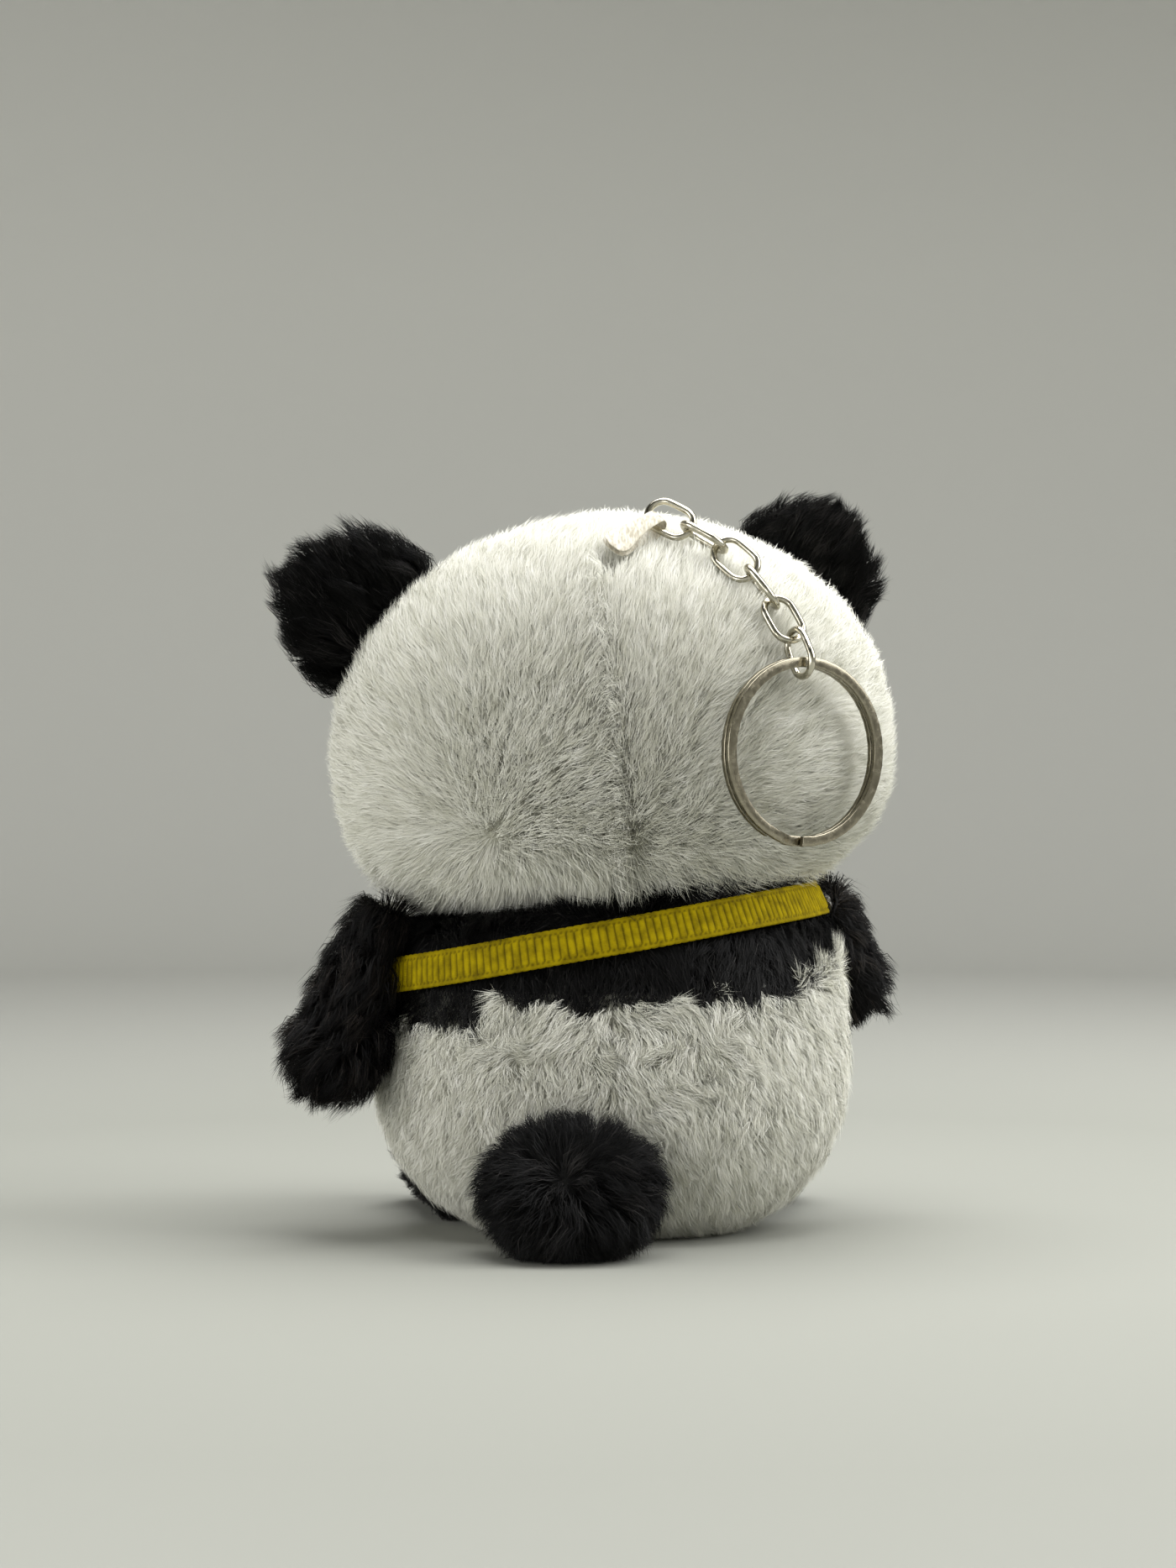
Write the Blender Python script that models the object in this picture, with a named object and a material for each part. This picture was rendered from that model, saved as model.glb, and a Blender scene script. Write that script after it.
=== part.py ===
"""A panda plush keychain: sewn and stuffed covers, safety eyes, a ribbon sash, a ribbon hang loop,
six oval chain links and a two-turn split ring.

Metres, +Z up, the face looks along -Y, and the origin is on the surface it sits on, under its middle.
Every cover is a fabric panel with its pile, so its outside is the pile pressed flat by a light touch.
"""

import math

import bmesh
import bpy
from mathutils import Matrix, Vector

MM = 0.001
X_AXIS, Y_AXIS, Z_AXIS = Vector((1, 0, 0)), Vector((0, 1, 0)), Vector((0, 0, 1))

# Cloth and clearances
COVER = 2.4 * MM  # backing and pile of a large panel
THIN_COVER = 1.6 * MM  # the same on ears, limbs and tail
SEAM_GAP = 0.3 * MM
FILL_GAP = 0.7 * MM  # between a cover and its stuffing
FLEX_GAP = 0.9 * MM  # at the root of an ear, a leg and the tail, so that they can move
ARM_GAP = 2.0 * MM  # between an arm and the torso, where the sash passes

# Head: half sizes about its waist, and how far it is sewn askew
HEAD_CENTRE = Vector((0, 0, 82.2)) * MM
HEAD_WIDTH, HEAD_DEPTH, HEAD_UP, HEAD_DOWN = 45.5 * MM, 33 * MM, 35.4 * MM, 27 * MM
HEAD_UP_POWER, HEAD_DOWN_POWER = 2.0, 3.2
HEAD_ROLL = math.radians(5)
FACE_SEAM_Y = -4 * MM

# Torso: half sizes about its waist, pressed flat below and under the head
WAIST_HEIGHT = 28.5 * MM
TORSO_WIDTH, TORSO_DEPTH, TORSO_UP, TORSO_DOWN = 39 * MM, 30 * MM, 42 * MM, 30.5 * MM
TORSO_UP_POWER, TORSO_DOWN_POWER = 2.6, 2.4
NECK_HEIGHT = 54.2 * MM  # on the middle line: the neck lies askew with the head
BAND_HEIGHT = 41.0 * MM  # white fur below, black above
SIDE_SEAM_Y = -2 * MM
BASE_HALF = (15 * MM, 11 * MM)  # the oval panel that it sits on

# Face
EYE_X, EYE_Z = 17 * MM, 0.5 * MM  # from the head's centre
EYE_RADIUS, SHANK_RADIUS, SHANK_LENGTH = 3.6 * MM, 1.5 * MM, 8.5 * MM
PATCH_HALF_WIDTH, PATCH_HALF_HEIGHT, PATCH_THICK = 6.6 * MM, 8.6 * MM, 1.4 * MM
PATCH_TILT = math.radians(28)
MUZZLE_Z = -10 * MM
MUZZLE_HALF = Vector((10.2, 7.6, 7.4)) * MM
NOSE_HALF = Vector((4.2, 2.6, 2.8)) * MM

# Ears: half length of the base, half thickness and height, all before the head cuts the base
EAR_HALF = Vector((14.2, 4.2, 20)) * MM
# Where the base of an ear is: round the head, towards the back, the way it leans, how far it is sunk
LEFT_EAR = (math.radians(36), 2 * MM, math.radians(41), 3.2 * MM)
RIGHT_EAR = (math.radians(139), -11 * MM, math.radians(124), 5.2 * MM)

# Sash
SASH_WIDTH, SASH_THICK, SASH_STEPS = 5.5 * MM, 0.5 * MM, 44
SASH_MIDDLE_HEIGHT, SASH_SLOPE = 48.6 * MM, -0.182
SASH_FRONT_DROP = 0.03

# Hang loop
LOOP_ROOT = Vector((0.8, 22.7, 111.6)) * MM
LOOP_WIDTH, LOOP_FOLD_WIDTH, LOOP_THICK = 5.6 * MM, 3.1 * MM, 0.4 * MM
LOOP_FOLD_RADIUS = 2.1 * MM

# Chain of six alike links
WIRE = 1.3 * MM
LINK_LENGTH, LINK_WIDTH = 9.4 * MM, 6.4 * MM
HOOK_GAP = 0.2 * MM
RING_GRIP = 2.3 * MM  # from the middle of the ring's section to the middle of the last link's wire
LINK_POINTS = 22
# How far each link leans from lying flat on the head, from the hang loop down
LINK_LEANS = (-50, 38, -50, 38, -25, 90)
# Where the links hook each other round the head's shoulder, from the hang loop down
HOOKS = [
    Vector(p) * MM
    for p in (
        (-6.4, 15.4, 118.5),
        (-12.1, 17.9, 115.4),
        (-17.2, 19.7, 112.5),
        (-21.5, 22.0, 108.8),
        (-25.2, 24.0, 104.2),
        (-28.4, 26.2, 98.4),
    )
]

# Split ring
RING_CENTRE = Vector((-30.2, 29.2, 79.1)) * MM
RING_TURN = math.radians(32)  # about +Z, so that it lies along the head's shoulder
RING_OUTER, RING_RADIAL, RING_LAYER, RING_PITCH = 15 * MM, 1.6 * MM, 0.95 * MM, 1.15 * MM
RING_STEP_ANGLE = math.radians(15)
RING_STEP_AT = math.radians(294)  # where the wire steps from one layer to the other
RING_END_GAP = math.radians(3)

# Tail and limbs: (inner centre, outer centre, inner radius, outer radius)
TAIL_CENTRE, TAIL_HALF = Vector((6.5, 34.5, 9.9)) * MM, Vector((12.7, 11, 9.5)) * MM
LEFT_ARM = (Vector((36.5, 9, 51)) * MM, Vector((44.4, 12.5, 31.2)) * MM, 5.8 * MM, 6.9 * MM)
RIGHT_ARM = (Vector((-34.5, -5, 52.5)) * MM, Vector((-39.2, -17, 41.5)) * MM, 5.6 * MM, 6.6 * MM)
LEFT_LEG = (Vector((23.5, -11, 9.7)) * MM, Vector((26.5, -33.5, 10.3)) * MM, 9.4 * MM, 9.9 * MM)
RIGHT_LEG = (Vector((-21, -18, 9.7)) * MM, Vector((-24.5, -36, 10.3)) * MM, 9.4 * MM, 9.9 * MM)


def clear_scene():
    for thing in list(bpy.data.objects):
        bpy.data.objects.remove(thing)


def make_material(name, colour, roughness, metallic=0.0):
    made = bpy.data.materials.new(name)
    made.use_nodes = True
    shader = made.node_tree.nodes["Principled BSDF"]
    shader.inputs["Base Color"].default_value = (*colour, 1)
    shader.inputs["Roughness"].default_value = roughness
    shader.inputs["Metallic"].default_value = metallic
    return made


class PlumpForm:
    """A stuffed shape. Its level sections are ellipses, and its upright profile is a superellipse."""

    def __init__(self, width, depth, up, down, up_power, down_power):
        self.width, self.depth, self.up, self.down = width, depth, up, down
        self.up_power, self.down_power = up_power, down_power

    def grown(self, by):
        """The same form with its surface moved out by that much."""
        return PlumpForm(self.width + by, self.depth + by, self.up + by, self.down + by,
                         self.up_power, self.down_power)

    def share(self, z):
        """How wide the form is at a height from its waist, as a share of the waist."""
        span, power = (self.up, self.up_power) if z > 0 else (self.down, self.down_power)
        return max(0.0, 1 - min(1.0, abs(z) / span) ** power) ** (1 / power)

    def front(self, x, z):
        """The y of the front surface above that x and z."""
        return -self.depth * math.sqrt(max(0.0, self.share(z) ** 2 - (x / self.width) ** 2))

    def normal(self, x, z):
        """The outward direction of the front surface at that x and z."""
        step = 0.2 * MM
        across = Vector((2 * step, self.front(x + step, z) - self.front(x - step, z), 0))
        upward = Vector((0, self.front(x, z + step) - self.front(x, z - step), 2 * step))
        return across.cross(upward).normalized()

    def surface(self, segments, rings):
        """A closed bmesh of the form, its waist at z = 0."""
        made = bmesh.new()
        bmesh.ops.create_uvsphere(made, u_segments=segments, v_segments=rings, radius=1)
        for v in made.verts:
            z = v.co.z * (self.up if v.co.z > 0 else self.down)
            outward = Vector((v.co.x, v.co.y, 0))
            if outward.length > 1e-6:
                outward = outward.normalized() * self.share(z)
            v.co = (outward.x * self.width, outward.y * self.depth, z)
        return made


def keep_side(bm, point, direction):
    """Cuts a closed surface with a plane, keeps the direction's side and closes it with a flat face."""
    bmesh.ops.bisect_plane(
        bm, geom=bm.verts[:] + bm.edges[:] + bm.faces[:], dist=1e-7,
        plane_co=point, plane_no=direction, clear_inner=True,
    )
    rim = [edge for edge in bm.edges if edge.is_boundary]
    if rim:
        bmesh.ops.holes_fill(bm, edges=rim, sides=0)
        bmesh.ops.recalc_face_normals(bm, faces=bm.faces[:])


def keep_between(bm, axis, low, high):
    """Keeps the stretch of a solid between two heights on an axis; None leaves a side as it is."""
    if low is not None:
        keep_side(bm, axis * low, axis)
    if high is not None:
        keep_side(bm, axis * high, -axis)


class Builder:
    """Makes the objects, one for each sub-part, and the empties on the joints."""

    def __init__(self):
        self.materials = {
            "white_plush": make_material("white_plush", (0.80, 0.79, 0.74), 0.95),
            "black_plush": make_material("black_plush", (0.018, 0.017, 0.018), 0.95),
            "stuffing": make_material("stuffing", (0.86, 0.86, 0.84), 1.0),
            "yellow_ribbon": make_material("yellow_ribbon", (0.66, 0.50, 0.01), 0.6),
            "white_ribbon": make_material("white_ribbon", (0.78, 0.74, 0.64), 0.45),
            "nickel_steel": make_material("nickel_steel", (0.66, 0.64, 0.58), 0.25, 1.0),
            "black_plastic": make_material("black_plastic", (0.008, 0.008, 0.008), 0.12),
            "clear_plastic": make_material("clear_plastic", (0.70, 0.72, 0.72), 0.4),
        }

    def place(self, name, bm, material, matrix=None, parent=None):
        mesh = bpy.data.meshes.new(name)
        bm.to_mesh(mesh)
        bm.free()
        mesh.materials.append(self.materials[material])
        mesh.shade_smooth()
        mesh.set_sharp_from_angle(angle=math.radians(40))
        made = bpy.data.objects.new(name, mesh)
        bpy.context.scene.collection.objects.link(made)
        self.attach(made, matrix or Matrix.Identity(4), parent)
        return made

    def attach(self, made, matrix, parent):
        made.matrix_world = matrix
        if parent is not None:
            made.parent = parent
            made.matrix_parent_inverse = parent.matrix_world.inverted()
        bpy.context.view_layer.update()

    def pivot(self, name, position, axis, parent=None):
        """An empty on a joint, its own X along the joint's axis."""
        made = bpy.data.objects.new("pivot_" + name, None)
        made.empty_display_size = 3 * MM
        bpy.context.scene.collection.objects.link(made)
        turned = Vector(axis).normalized().to_track_quat("X", "Z").to_matrix().to_4x4()
        self.attach(made, Matrix.Translation(position) @ turned, parent)
        return made

    def cutter(self, name, bm, matrix):
        """A helper that other objects are cut with, and that is not a part."""
        made = self.place(name, bm, "stuffing", matrix)
        made.hide_render = True
        made.display_type = "WIRE"
        return made


def thicken(made, thickness):
    """Gives a cut-out patch its thickness, inwards from its outer surface."""
    solid = made.modifiers.new("thickness", "SOLIDIFY")
    solid.thickness = thickness
    solid.offset = -1
    solid.use_even_offset = True
    solid.use_rim = True
    solid.thickness_clamp = 0


def cut(made, tool):
    away = made.modifiers.new("cut", "BOOLEAN")
    away.operation = "DIFFERENCE"
    away.object = tool
    away.solver = "EXACT"


def turned(profile, steps):
    """A solid turned about Z from a profile of (radius, height), which starts and ends on the axis."""
    bm = bmesh.new()
    line = [bm.verts.new((radius, 0, height)) for radius, height in profile]
    edges = [bm.edges.new(pair) for pair in zip(line, line[1:])]
    bmesh.ops.spin(bm, geom=line + edges, cent=(0, 0, 0), axis=Z_AXIS, angle=math.tau,
                   steps=steps, use_merge=True)
    bmesh.ops.remove_doubles(bm, verts=bm.verts[:], dist=1e-6)
    bmesh.ops.recalc_face_normals(bm, faces=bm.faces[:])
    return bm


def limb_surface(length, inner_radius, outer_radius, segments=14, rings=8):
    """A round-ended limb along +Z: its inner end is about the origin and its outer end at length."""
    bm = bmesh.new()
    bmesh.ops.create_uvsphere(bm, u_segments=segments, v_segments=rings, radius=1)
    for v in bm.verts:
        if v.co.z > -1e-6:
            v.co = v.co * outer_radius + Z_AXIS * length
        else:
            v.co = v.co * inner_radius
    return bm


# --- Head -----------------------------------------------------------------------------------------

HEAD = PlumpForm(HEAD_WIDTH, HEAD_DEPTH, HEAD_UP, HEAD_DOWN, HEAD_UP_POWER, HEAD_DOWN_POWER)
HEAD_FRAME = Matrix.Translation(HEAD_CENTRE) @ Matrix.Rotation(HEAD_ROLL, 4, "Y")
HEAD_GRID = (24, 12)


def make_head(build, root):
    """Two back panels, a face panel and the stuffing that they hold."""
    half = SEAM_GAP / 2
    hollow = build.cutter("head_hollow", HEAD.grown(-COVER).surface(*HEAD_GRID), HEAD_FRAME)
    panels = (
        ("head_back_left", (half, None), (FACE_SEAM_Y + half, None)),
        ("head_back_right", (None, -half), (FACE_SEAM_Y + half, None)),
        ("head_face", (None, None), (None, FACE_SEAM_Y - half)),
    )
    made = {}
    for name, across, along in panels:
        bm = HEAD.surface(*HEAD_GRID)
        keep_between(bm, X_AXIS, *across)
        keep_between(bm, Y_AXIS, *along)
        made[name] = build.place(name, bm, "white_plush", HEAD_FRAME, root)
        cut(made[name], hollow)
    inside = HEAD.grown(-COVER - FILL_GAP).surface(*HEAD_GRID)
    made["head_stuffing"] = build.place("head_stuffing", inside, "stuffing", HEAD_FRAME, root)
    return made


def on_face(x, z, lift=0.0):
    """The frame of a point on the face: its Z points out of the head, its Y upwards."""
    outward = HEAD.normal(x, z)
    across = Z_AXIS.cross(outward).normalized()
    axes = Matrix((across, outward.cross(across), outward)).transposed().to_4x4()
    point = Vector((x, HEAD.front(x, z), z)) + outward * lift
    return HEAD_FRAME @ Matrix.Translation(point) @ axes


def make_eye(build, root, side, head):
    """A patch of black pile, and a safety eye whose shank goes through it to a washer inside."""
    x = EYE_X * side
    name = "left" if side > 0 else "right"
    above = HEAD.grown(1.5 * SEAM_GAP + PATCH_THICK)
    patch = bmesh.new()
    bmesh.ops.create_circle(patch, cap_ends=True, segments=20, radius=1)
    bmesh.ops.inset_region(patch, faces=patch.faces[:], thickness=0.45)
    for v in patch.verts:
        flat = Matrix.Rotation(-side * PATCH_TILT, 2) @ Vector(
            (v.co.x * PATCH_HALF_WIDTH, v.co.y * PATCH_HALF_HEIGHT))
        px, pz = x + flat.x * math.cos(0.4), EYE_Z + flat.y
        v.co = (px, above.front(px, pz), pz)
    bmesh.ops.recalc_face_normals(patch, faces=patch.faces[:])
    if patch.faces[0].normal.y > 0:
        bmesh.ops.reverse_faces(patch, faces=patch.faces[:])
    pad = build.place("eye_patch_" + name, patch, "black_plush", HEAD_FRAME, root)
    thicken(pad, PATCH_THICK)

    seat = on_face(x, EYE_Z, 3.5 * SEAM_GAP + PATCH_THICK)
    dome = [(0, EYE_RADIUS * 0.85)]
    dome += [(EYE_RADIUS * math.sin(a), EYE_RADIUS * 0.85 * math.cos(a)) for a in (0.4, 0.8, 1.2, 1.5)]
    shank = [(SHANK_RADIUS, 0), (SHANK_RADIUS, -SHANK_LENGTH + 0.6 * MM),
             (SHANK_RADIUS * 0.6, -SHANK_LENGTH), (0, -SHANK_LENGTH)]
    build.place("eye_" + name, turned(dome + shank, 16), "black_plastic", seat, root)

    inner, outer, thick = SHANK_RADIUS + SEAM_GAP, 4.6 * MM, 0.9 * MM
    lock = bmesh.new()
    bmesh.ops.create_circle(lock, segments=16, radius=outer)
    bmesh.ops.create_circle(lock, segments=16, radius=inner)
    bmesh.ops.bridge_loops(lock, edges=lock.edges[:])
    bmesh.ops.solidify(lock, geom=lock.faces[:], thickness=thick)
    bmesh.ops.recalc_face_normals(lock, faces=lock.faces[:])
    behind = COVER + PATCH_THICK + 6.5 * SEAM_GAP
    washer_frame = seat @ Matrix.Translation((0, 0, -behind - 1.4 * thick))
    build.place("eye_washer_" + name, lock, "clear_plastic", washer_frame, root)

    hole = bmesh.new()
    bmesh.ops.create_cone(hole, cap_ends=True, segments=16, radius1=inner, radius2=inner,
                          depth=3 * SHANK_LENGTH)
    drill = build.cutter("cut_shank_" + name, hole, seat)
    pocket = bmesh.new()
    depth = 2 * SHANK_LENGTH
    bmesh.ops.create_cone(pocket, cap_ends=True, segments=16, radius1=outer + 2 * SEAM_GAP,
                          radius2=outer + 2 * SEAM_GAP, depth=depth)
    well = build.cutter("cut_washer_" + name, pocket,
                        seat @ Matrix.Translation((0, 0, depth / 2 - SHANK_LENGTH - 2 * SEAM_GAP)))
    cut(pad, drill)
    cut(head["head_face"], drill)
    cut(head["head_stuffing"], well)


def ellipsoid(half, segments, rings):
    bm = bmesh.new()
    bmesh.ops.create_uvsphere(bm, u_segments=segments, v_segments=rings, radius=1)
    bmesh.ops.scale(bm, vec=half, verts=bm.verts[:])
    return bm


def less(half, by):
    """Half sizes with that much taken off each."""
    return half - Vector((by, by, by))


def make_muzzle(build, root):
    """A stuffed muzzle sewn on the face, with a padded nose on it."""
    frame = HEAD_FRAME @ Matrix.Translation((0, HEAD.front(0, MUZZLE_Z), MUZZLE_Z))
    face = build.cutter("cut_by_face", HEAD.grown(SEAM_GAP).surface(32, 20), HEAD_FRAME)
    dome = ellipsoid(MUZZLE_HALF, 20, 12)
    keep_side(dome, (0, 3 * MM, 0), -Y_AXIS)
    cover = build.place("muzzle_cover", dome, "white_plush", frame, root)
    cut(cover, build.cutter("muzzle_hollow", ellipsoid(less(MUZZLE_HALF, THIN_COVER), 20, 12), frame))
    cut(cover, face)
    inside = ellipsoid(less(MUZZLE_HALF, THIN_COVER + FILL_GAP / 2), 16, 10)
    filling = build.place("muzzle_stuffing", inside, "stuffing", frame, root)
    cut(filling, face)
    skin = build.cutter("cut_by_muzzle", ellipsoid(less(MUZZLE_HALF, -SEAM_GAP), 32, 20), frame)
    up = 0.50
    seat = Vector((0, -MUZZLE_HALF.y * math.cos(up), MUZZLE_HALF.z * math.sin(up)))
    button = ellipsoid(NOSE_HALF, 16, 10)
    nose_frame = frame @ Matrix.Translation(seat) @ Matrix.Rotation(-0.35, 4, "X")
    nose = build.place("nose", button, "black_plastic", nose_frame, root)
    cut(nose, skin)


def ear_frame(angle, back, lean):
    """The frame of an ear: X along its base, Y towards the back, Z out of the head."""
    x = HEAD_WIDTH * math.cos(angle)
    z = HEAD_UP * math.sin(angle)
    shrink = math.sqrt(1 - (back / HEAD_DEPTH) ** 2)
    point = Vector((x * shrink, back, z * shrink))
    outward = Vector((math.cos(lean), 0, math.sin(lean)))
    along = Y_AXIS.cross(outward).normalized()
    axes = Matrix((along, Y_AXIS, outward)).transposed().to_4x4()
    return HEAD_FRAME @ Matrix.Translation(point) @ axes


def make_ear(build, root, name, seat, head_tool):
    """A front and a back panel sewn round their edge, on a base that can flex."""
    *where, depth = seat
    frame = ear_frame(*where)
    along = frame.to_3x3() @ X_AXIS
    hinge = build.pivot(name + "_flex", frame.translation, along, root)
    sunk = frame @ Matrix.Translation((0, 0, -depth))
    hollow = build.cutter(name + "_hollow", ellipsoid(less(EAR_HALF, THIN_COVER), 16, 10), sunk)
    for side, panel in ((1, name + "_back"), (-1, name + "_front")):
        bm = ellipsoid(EAR_HALF, 16, 10)
        keep_side(bm, (0, side * SEAM_GAP / 2, 0), Y_AXIS * side)
        keep_side(bm, (0, 0, -2 * MM), Z_AXIS)
        made = build.place(panel, bm, "black_plush", sunk, hinge)
        cut(made, hollow)
        cut(made, head_tool)


# --- Torso ----------------------------------------------------------------------------------------

TORSO = PlumpForm(TORSO_WIDTH, TORSO_DEPTH, TORSO_UP, TORSO_DOWN, TORSO_UP_POWER, TORSO_DOWN_POWER)
TORSO_FRAME = Matrix.Translation((0, 0, WAIST_HEIGHT))
TORSO_GRID = (24, 12)
NECK_WAY = Matrix.Rotation(HEAD_ROLL, 3, "Y") @ Z_AXIS


def torso_solid(by, segments=TORSO_GRID[0], rings=TORSO_GRID[1]):
    """The torso with its surface moved out by that much, flat under the head and on what it sits on."""
    bm = TORSO.grown(by).surface(segments, rings)
    keep_side(bm, Z_AXIS * (-WAIST_HEIGHT - by), Z_AXIS)
    keep_side(bm, Z_AXIS * (NECK_HEIGHT - WAIST_HEIGHT) + NECK_WAY * by, -NECK_WAY)
    return bm


def oval_plate(half_x, half_y, low, high):
    bm = bmesh.new()
    bmesh.ops.create_cone(bm, cap_ends=True, segments=32, radius1=1, radius2=1, depth=high - low)
    bmesh.ops.scale(bm, vec=(half_x, half_y, 1), verts=bm.verts[:])
    bmesh.ops.translate(bm, vec=(0, 0, (high + low) / 2), verts=bm.verts[:])
    return bm


def make_torso(build, root):
    """Seven panels: the base, and white below and black above with two backs and a front each."""
    half = SEAM_GAP / 2
    hx, hy = BASE_HALF
    build.place("base_panel", oval_plate(hx, hy, 0, COVER), "white_plush", parent=root)
    opening = oval_plate(hx + SEAM_GAP, hy + SEAM_GAP, -COVER, 2 * COVER)
    base_tool = build.cutter("cut_by_base", opening, Matrix.Identity(4))
    columns = (
        ("back_left", (half, None), (SIDE_SEAM_Y + half, None)),
        ("back_right", (None, -half), (SIDE_SEAM_Y + half, None)),
        ("front", (None, None), (None, SIDE_SEAM_Y - half)),
    )
    hollow = build.cutter("torso_hollow", torso_solid(-COVER), TORSO_FRAME)
    seam = BAND_HEIGHT - WAIST_HEIGHT
    rows = (("body", (None, seam - half), "white_plush"), ("yoke", (seam + half, None), "black_plush"))
    for row, height, cloth in rows:
        for column, across, along in columns:
            bm = torso_solid(0)
            keep_between(bm, X_AXIS, *across)
            keep_between(bm, Y_AXIS, *along)
            keep_between(bm, Z_AXIS, *height)
            panel = build.place(f"{row}_{column}", bm, cloth, TORSO_FRAME, root)
            cut(panel, hollow)
            if row == "body":
                cut(panel, base_tool)
    build.place("body_stuffing", torso_solid(-COVER - FILL_GAP), "stuffing", TORSO_FRAME, root)


def sash_station(turn):
    """The middle of the sash at one angle round the torso, and the way out of the torso there."""
    z = SASH_MIDDLE_HEIGHT - WAIST_HEIGHT
    for _ in range(6):
        share = TORSO.share(z)
        x, y = TORSO.width * share * math.cos(turn), TORSO.depth * share * math.sin(turn)
        z = SASH_MIDDLE_HEIGHT - WAIST_HEIGHT + SASH_SLOPE * x + SASH_FRONT_DROP * y
    out = Vector((x / TORSO.width**2, y / TORSO.depth**2, 0)).normalized()
    fall = (TORSO.share(z + MM) - TORSO.share(z - MM)) / 2 * TORSO.width
    out = (out * MM - Z_AXIS * fall * 0.8).normalized()
    return Vector((x, y, z)), out


def make_sash(build, root):
    """A flat ribbon closed into a loop round the torso, over one shoulder."""
    bm = bmesh.new()
    loops = []
    for step in range(SASH_STEPS):
        turn = math.tau * step / SASH_STEPS
        middle, out = sash_station(turn)
        ahead = (sash_station(turn + 0.01)[0] - middle).normalized()
        up = out.cross(ahead).normalized() * SASH_WIDTH / 2
        if up.z < 0:
            up = -up
        near, far = out * 2.2 * SEAM_GAP, out * (2.2 * SEAM_GAP + SASH_THICK)
        corners = (middle + near - up, middle + far - up, middle + far + up, middle + near + up)
        loops.append([bm.verts.new(c) for c in corners])
    for here, there in zip(loops, loops[1:] + loops[:1]):
        for k in range(4):
            bm.faces.new((here[k], there[k], there[(k + 1) % 4], here[(k + 1) % 4]))
    bmesh.ops.recalc_face_normals(bm, faces=bm.faces[:])
    build.place("ribbon_sash", bm, "yellow_ribbon", TORSO_FRAME, root)


def make_limb(build, root, name, limb, axis, torso_tool):
    """A cover, open where it is sewn on, and its stuffing, hinged at the top of where they meet the torso."""
    inner, outer, inner_radius, outer_radius = limb
    hinge = build.pivot(name, inner + Z_AXIS * 0.8 * inner_radius, axis, root)
    away = outer - inner
    frame = Matrix.Translation(inner) @ away.to_track_quat("Z", "Y").to_matrix().to_4x4()
    cover = limb_surface(away.length, inner_radius, outer_radius)
    keep_side(cover, (0, 0, -0.5 * inner_radius), Z_AXIS)
    sleeve = build.place(name + "_cover", cover, "black_plush", frame, hinge)
    wall = THIN_COVER
    lining = limb_surface(away.length, inner_radius - wall, outer_radius - wall)
    cut(sleeve, build.cutter(name + "_hollow", lining, frame))
    wall += FILL_GAP / 2
    fill = limb_surface(away.length, inner_radius - wall, outer_radius - wall, 12, 8)
    padding = build.place(name + "_stuffing", fill, "stuffing", frame, hinge)
    cut(sleeve, torso_tool)
    cut(padding, torso_tool)


def make_tail(build, root, torso_tool):
    """A stuffed ball sewn low on the back, hinged at the top of where they meet."""
    top = TAIL_CENTRE + Vector((0, -0.7 * TAIL_HALF.y, 0.7 * TAIL_HALF.z))
    hinge = build.pivot("tail", top, X_AXIS, root)
    frame = Matrix.Translation(TAIL_CENTRE)
    ball = ellipsoid(TAIL_HALF, 18, 10)
    cover = build.place("tail_cover", ball, "black_plush", frame, hinge)
    cut(cover, build.cutter("tail_hollow", ellipsoid(less(TAIL_HALF, THIN_COVER), 18, 10), frame))
    inside = ellipsoid(less(TAIL_HALF, THIN_COVER + FILL_GAP / 2), 14, 8)
    filling = build.place("tail_stuffing", inside, "stuffing", frame, hinge)
    cut(cover, torso_tool)
    cut(filling, torso_tool)


# --- Chain and ring -------------------------------------------------------------------------------


def oval_link():
    """An oval of round wire in the XZ plane, its long way along Z, as a curve with a bevel."""
    bend = (LINK_WIDTH - WIRE) / 2
    straight = (LINK_LENGTH - WIRE) / 2 - bend
    curve = bpy.data.curves.new("link", "CURVE")
    curve.dimensions = "3D"
    curve.bevel_depth = WIRE / 2
    curve.bevel_resolution = 2
    line = curve.splines.new("POLY")
    line.points.add(LINK_POINTS - 1)
    per_end = LINK_POINTS // 2
    for k in range(LINK_POINTS):
        end, step = divmod(k, per_end)
        turn = math.pi * (end + step / (per_end - 1))
        side = 1 if end == 0 else -1
        point = (bend * math.cos(turn), 0, bend * math.sin(turn) + side * straight, 1)
        line.points[k].co = point
    line.use_cyclic_u = True
    return curve


def link_frames():
    """Frame and name of each link, from the ring up to the hang loop.

    A link's Z points up the chain and its Y is square to its plane.
    """
    wire_centre = RING_CENTRE + Z_AXIS * (RING_OUTER - RING_RADIAL / 2)
    frames = []
    start, reach = wire_centre, RING_GRIP
    ring_normal = Matrix.Rotation(RING_TURN, 3, "Z") @ Y_AXIS
    flat = Z_AXIS.cross(ring_normal).normalized()
    for k in range(len(HOOKS), 0, -1):
        last = k == len(HOOKS)
        up = (HOOKS[k - 1] - start).normalized()
        low = start - up * reach
        high = low + up * (LINK_LENGTH - WIRE)
        out = ((low + high) / 2 - HEAD_CENTRE).normalized()
        out = (out - up * out.dot(up)).normalized()
        side = up.cross(out)
        lean = math.radians(LINK_LEANS[k - 1])
        square = (flat - up * flat.dot(up)).normalized() if last else (
            out * math.cos(lean) + side * math.sin(lean))
        across = square.cross(up).normalized()
        axes = Matrix((across, square, up)).transposed().to_4x4()
        frames.append((f"link_{k}", Matrix.Translation((low + high) / 2) @ axes))
        start = high - up * (WIRE + HOOK_GAP) / 2
        reach = (WIRE + HOOK_GAP) / 2
    return frames


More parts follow.
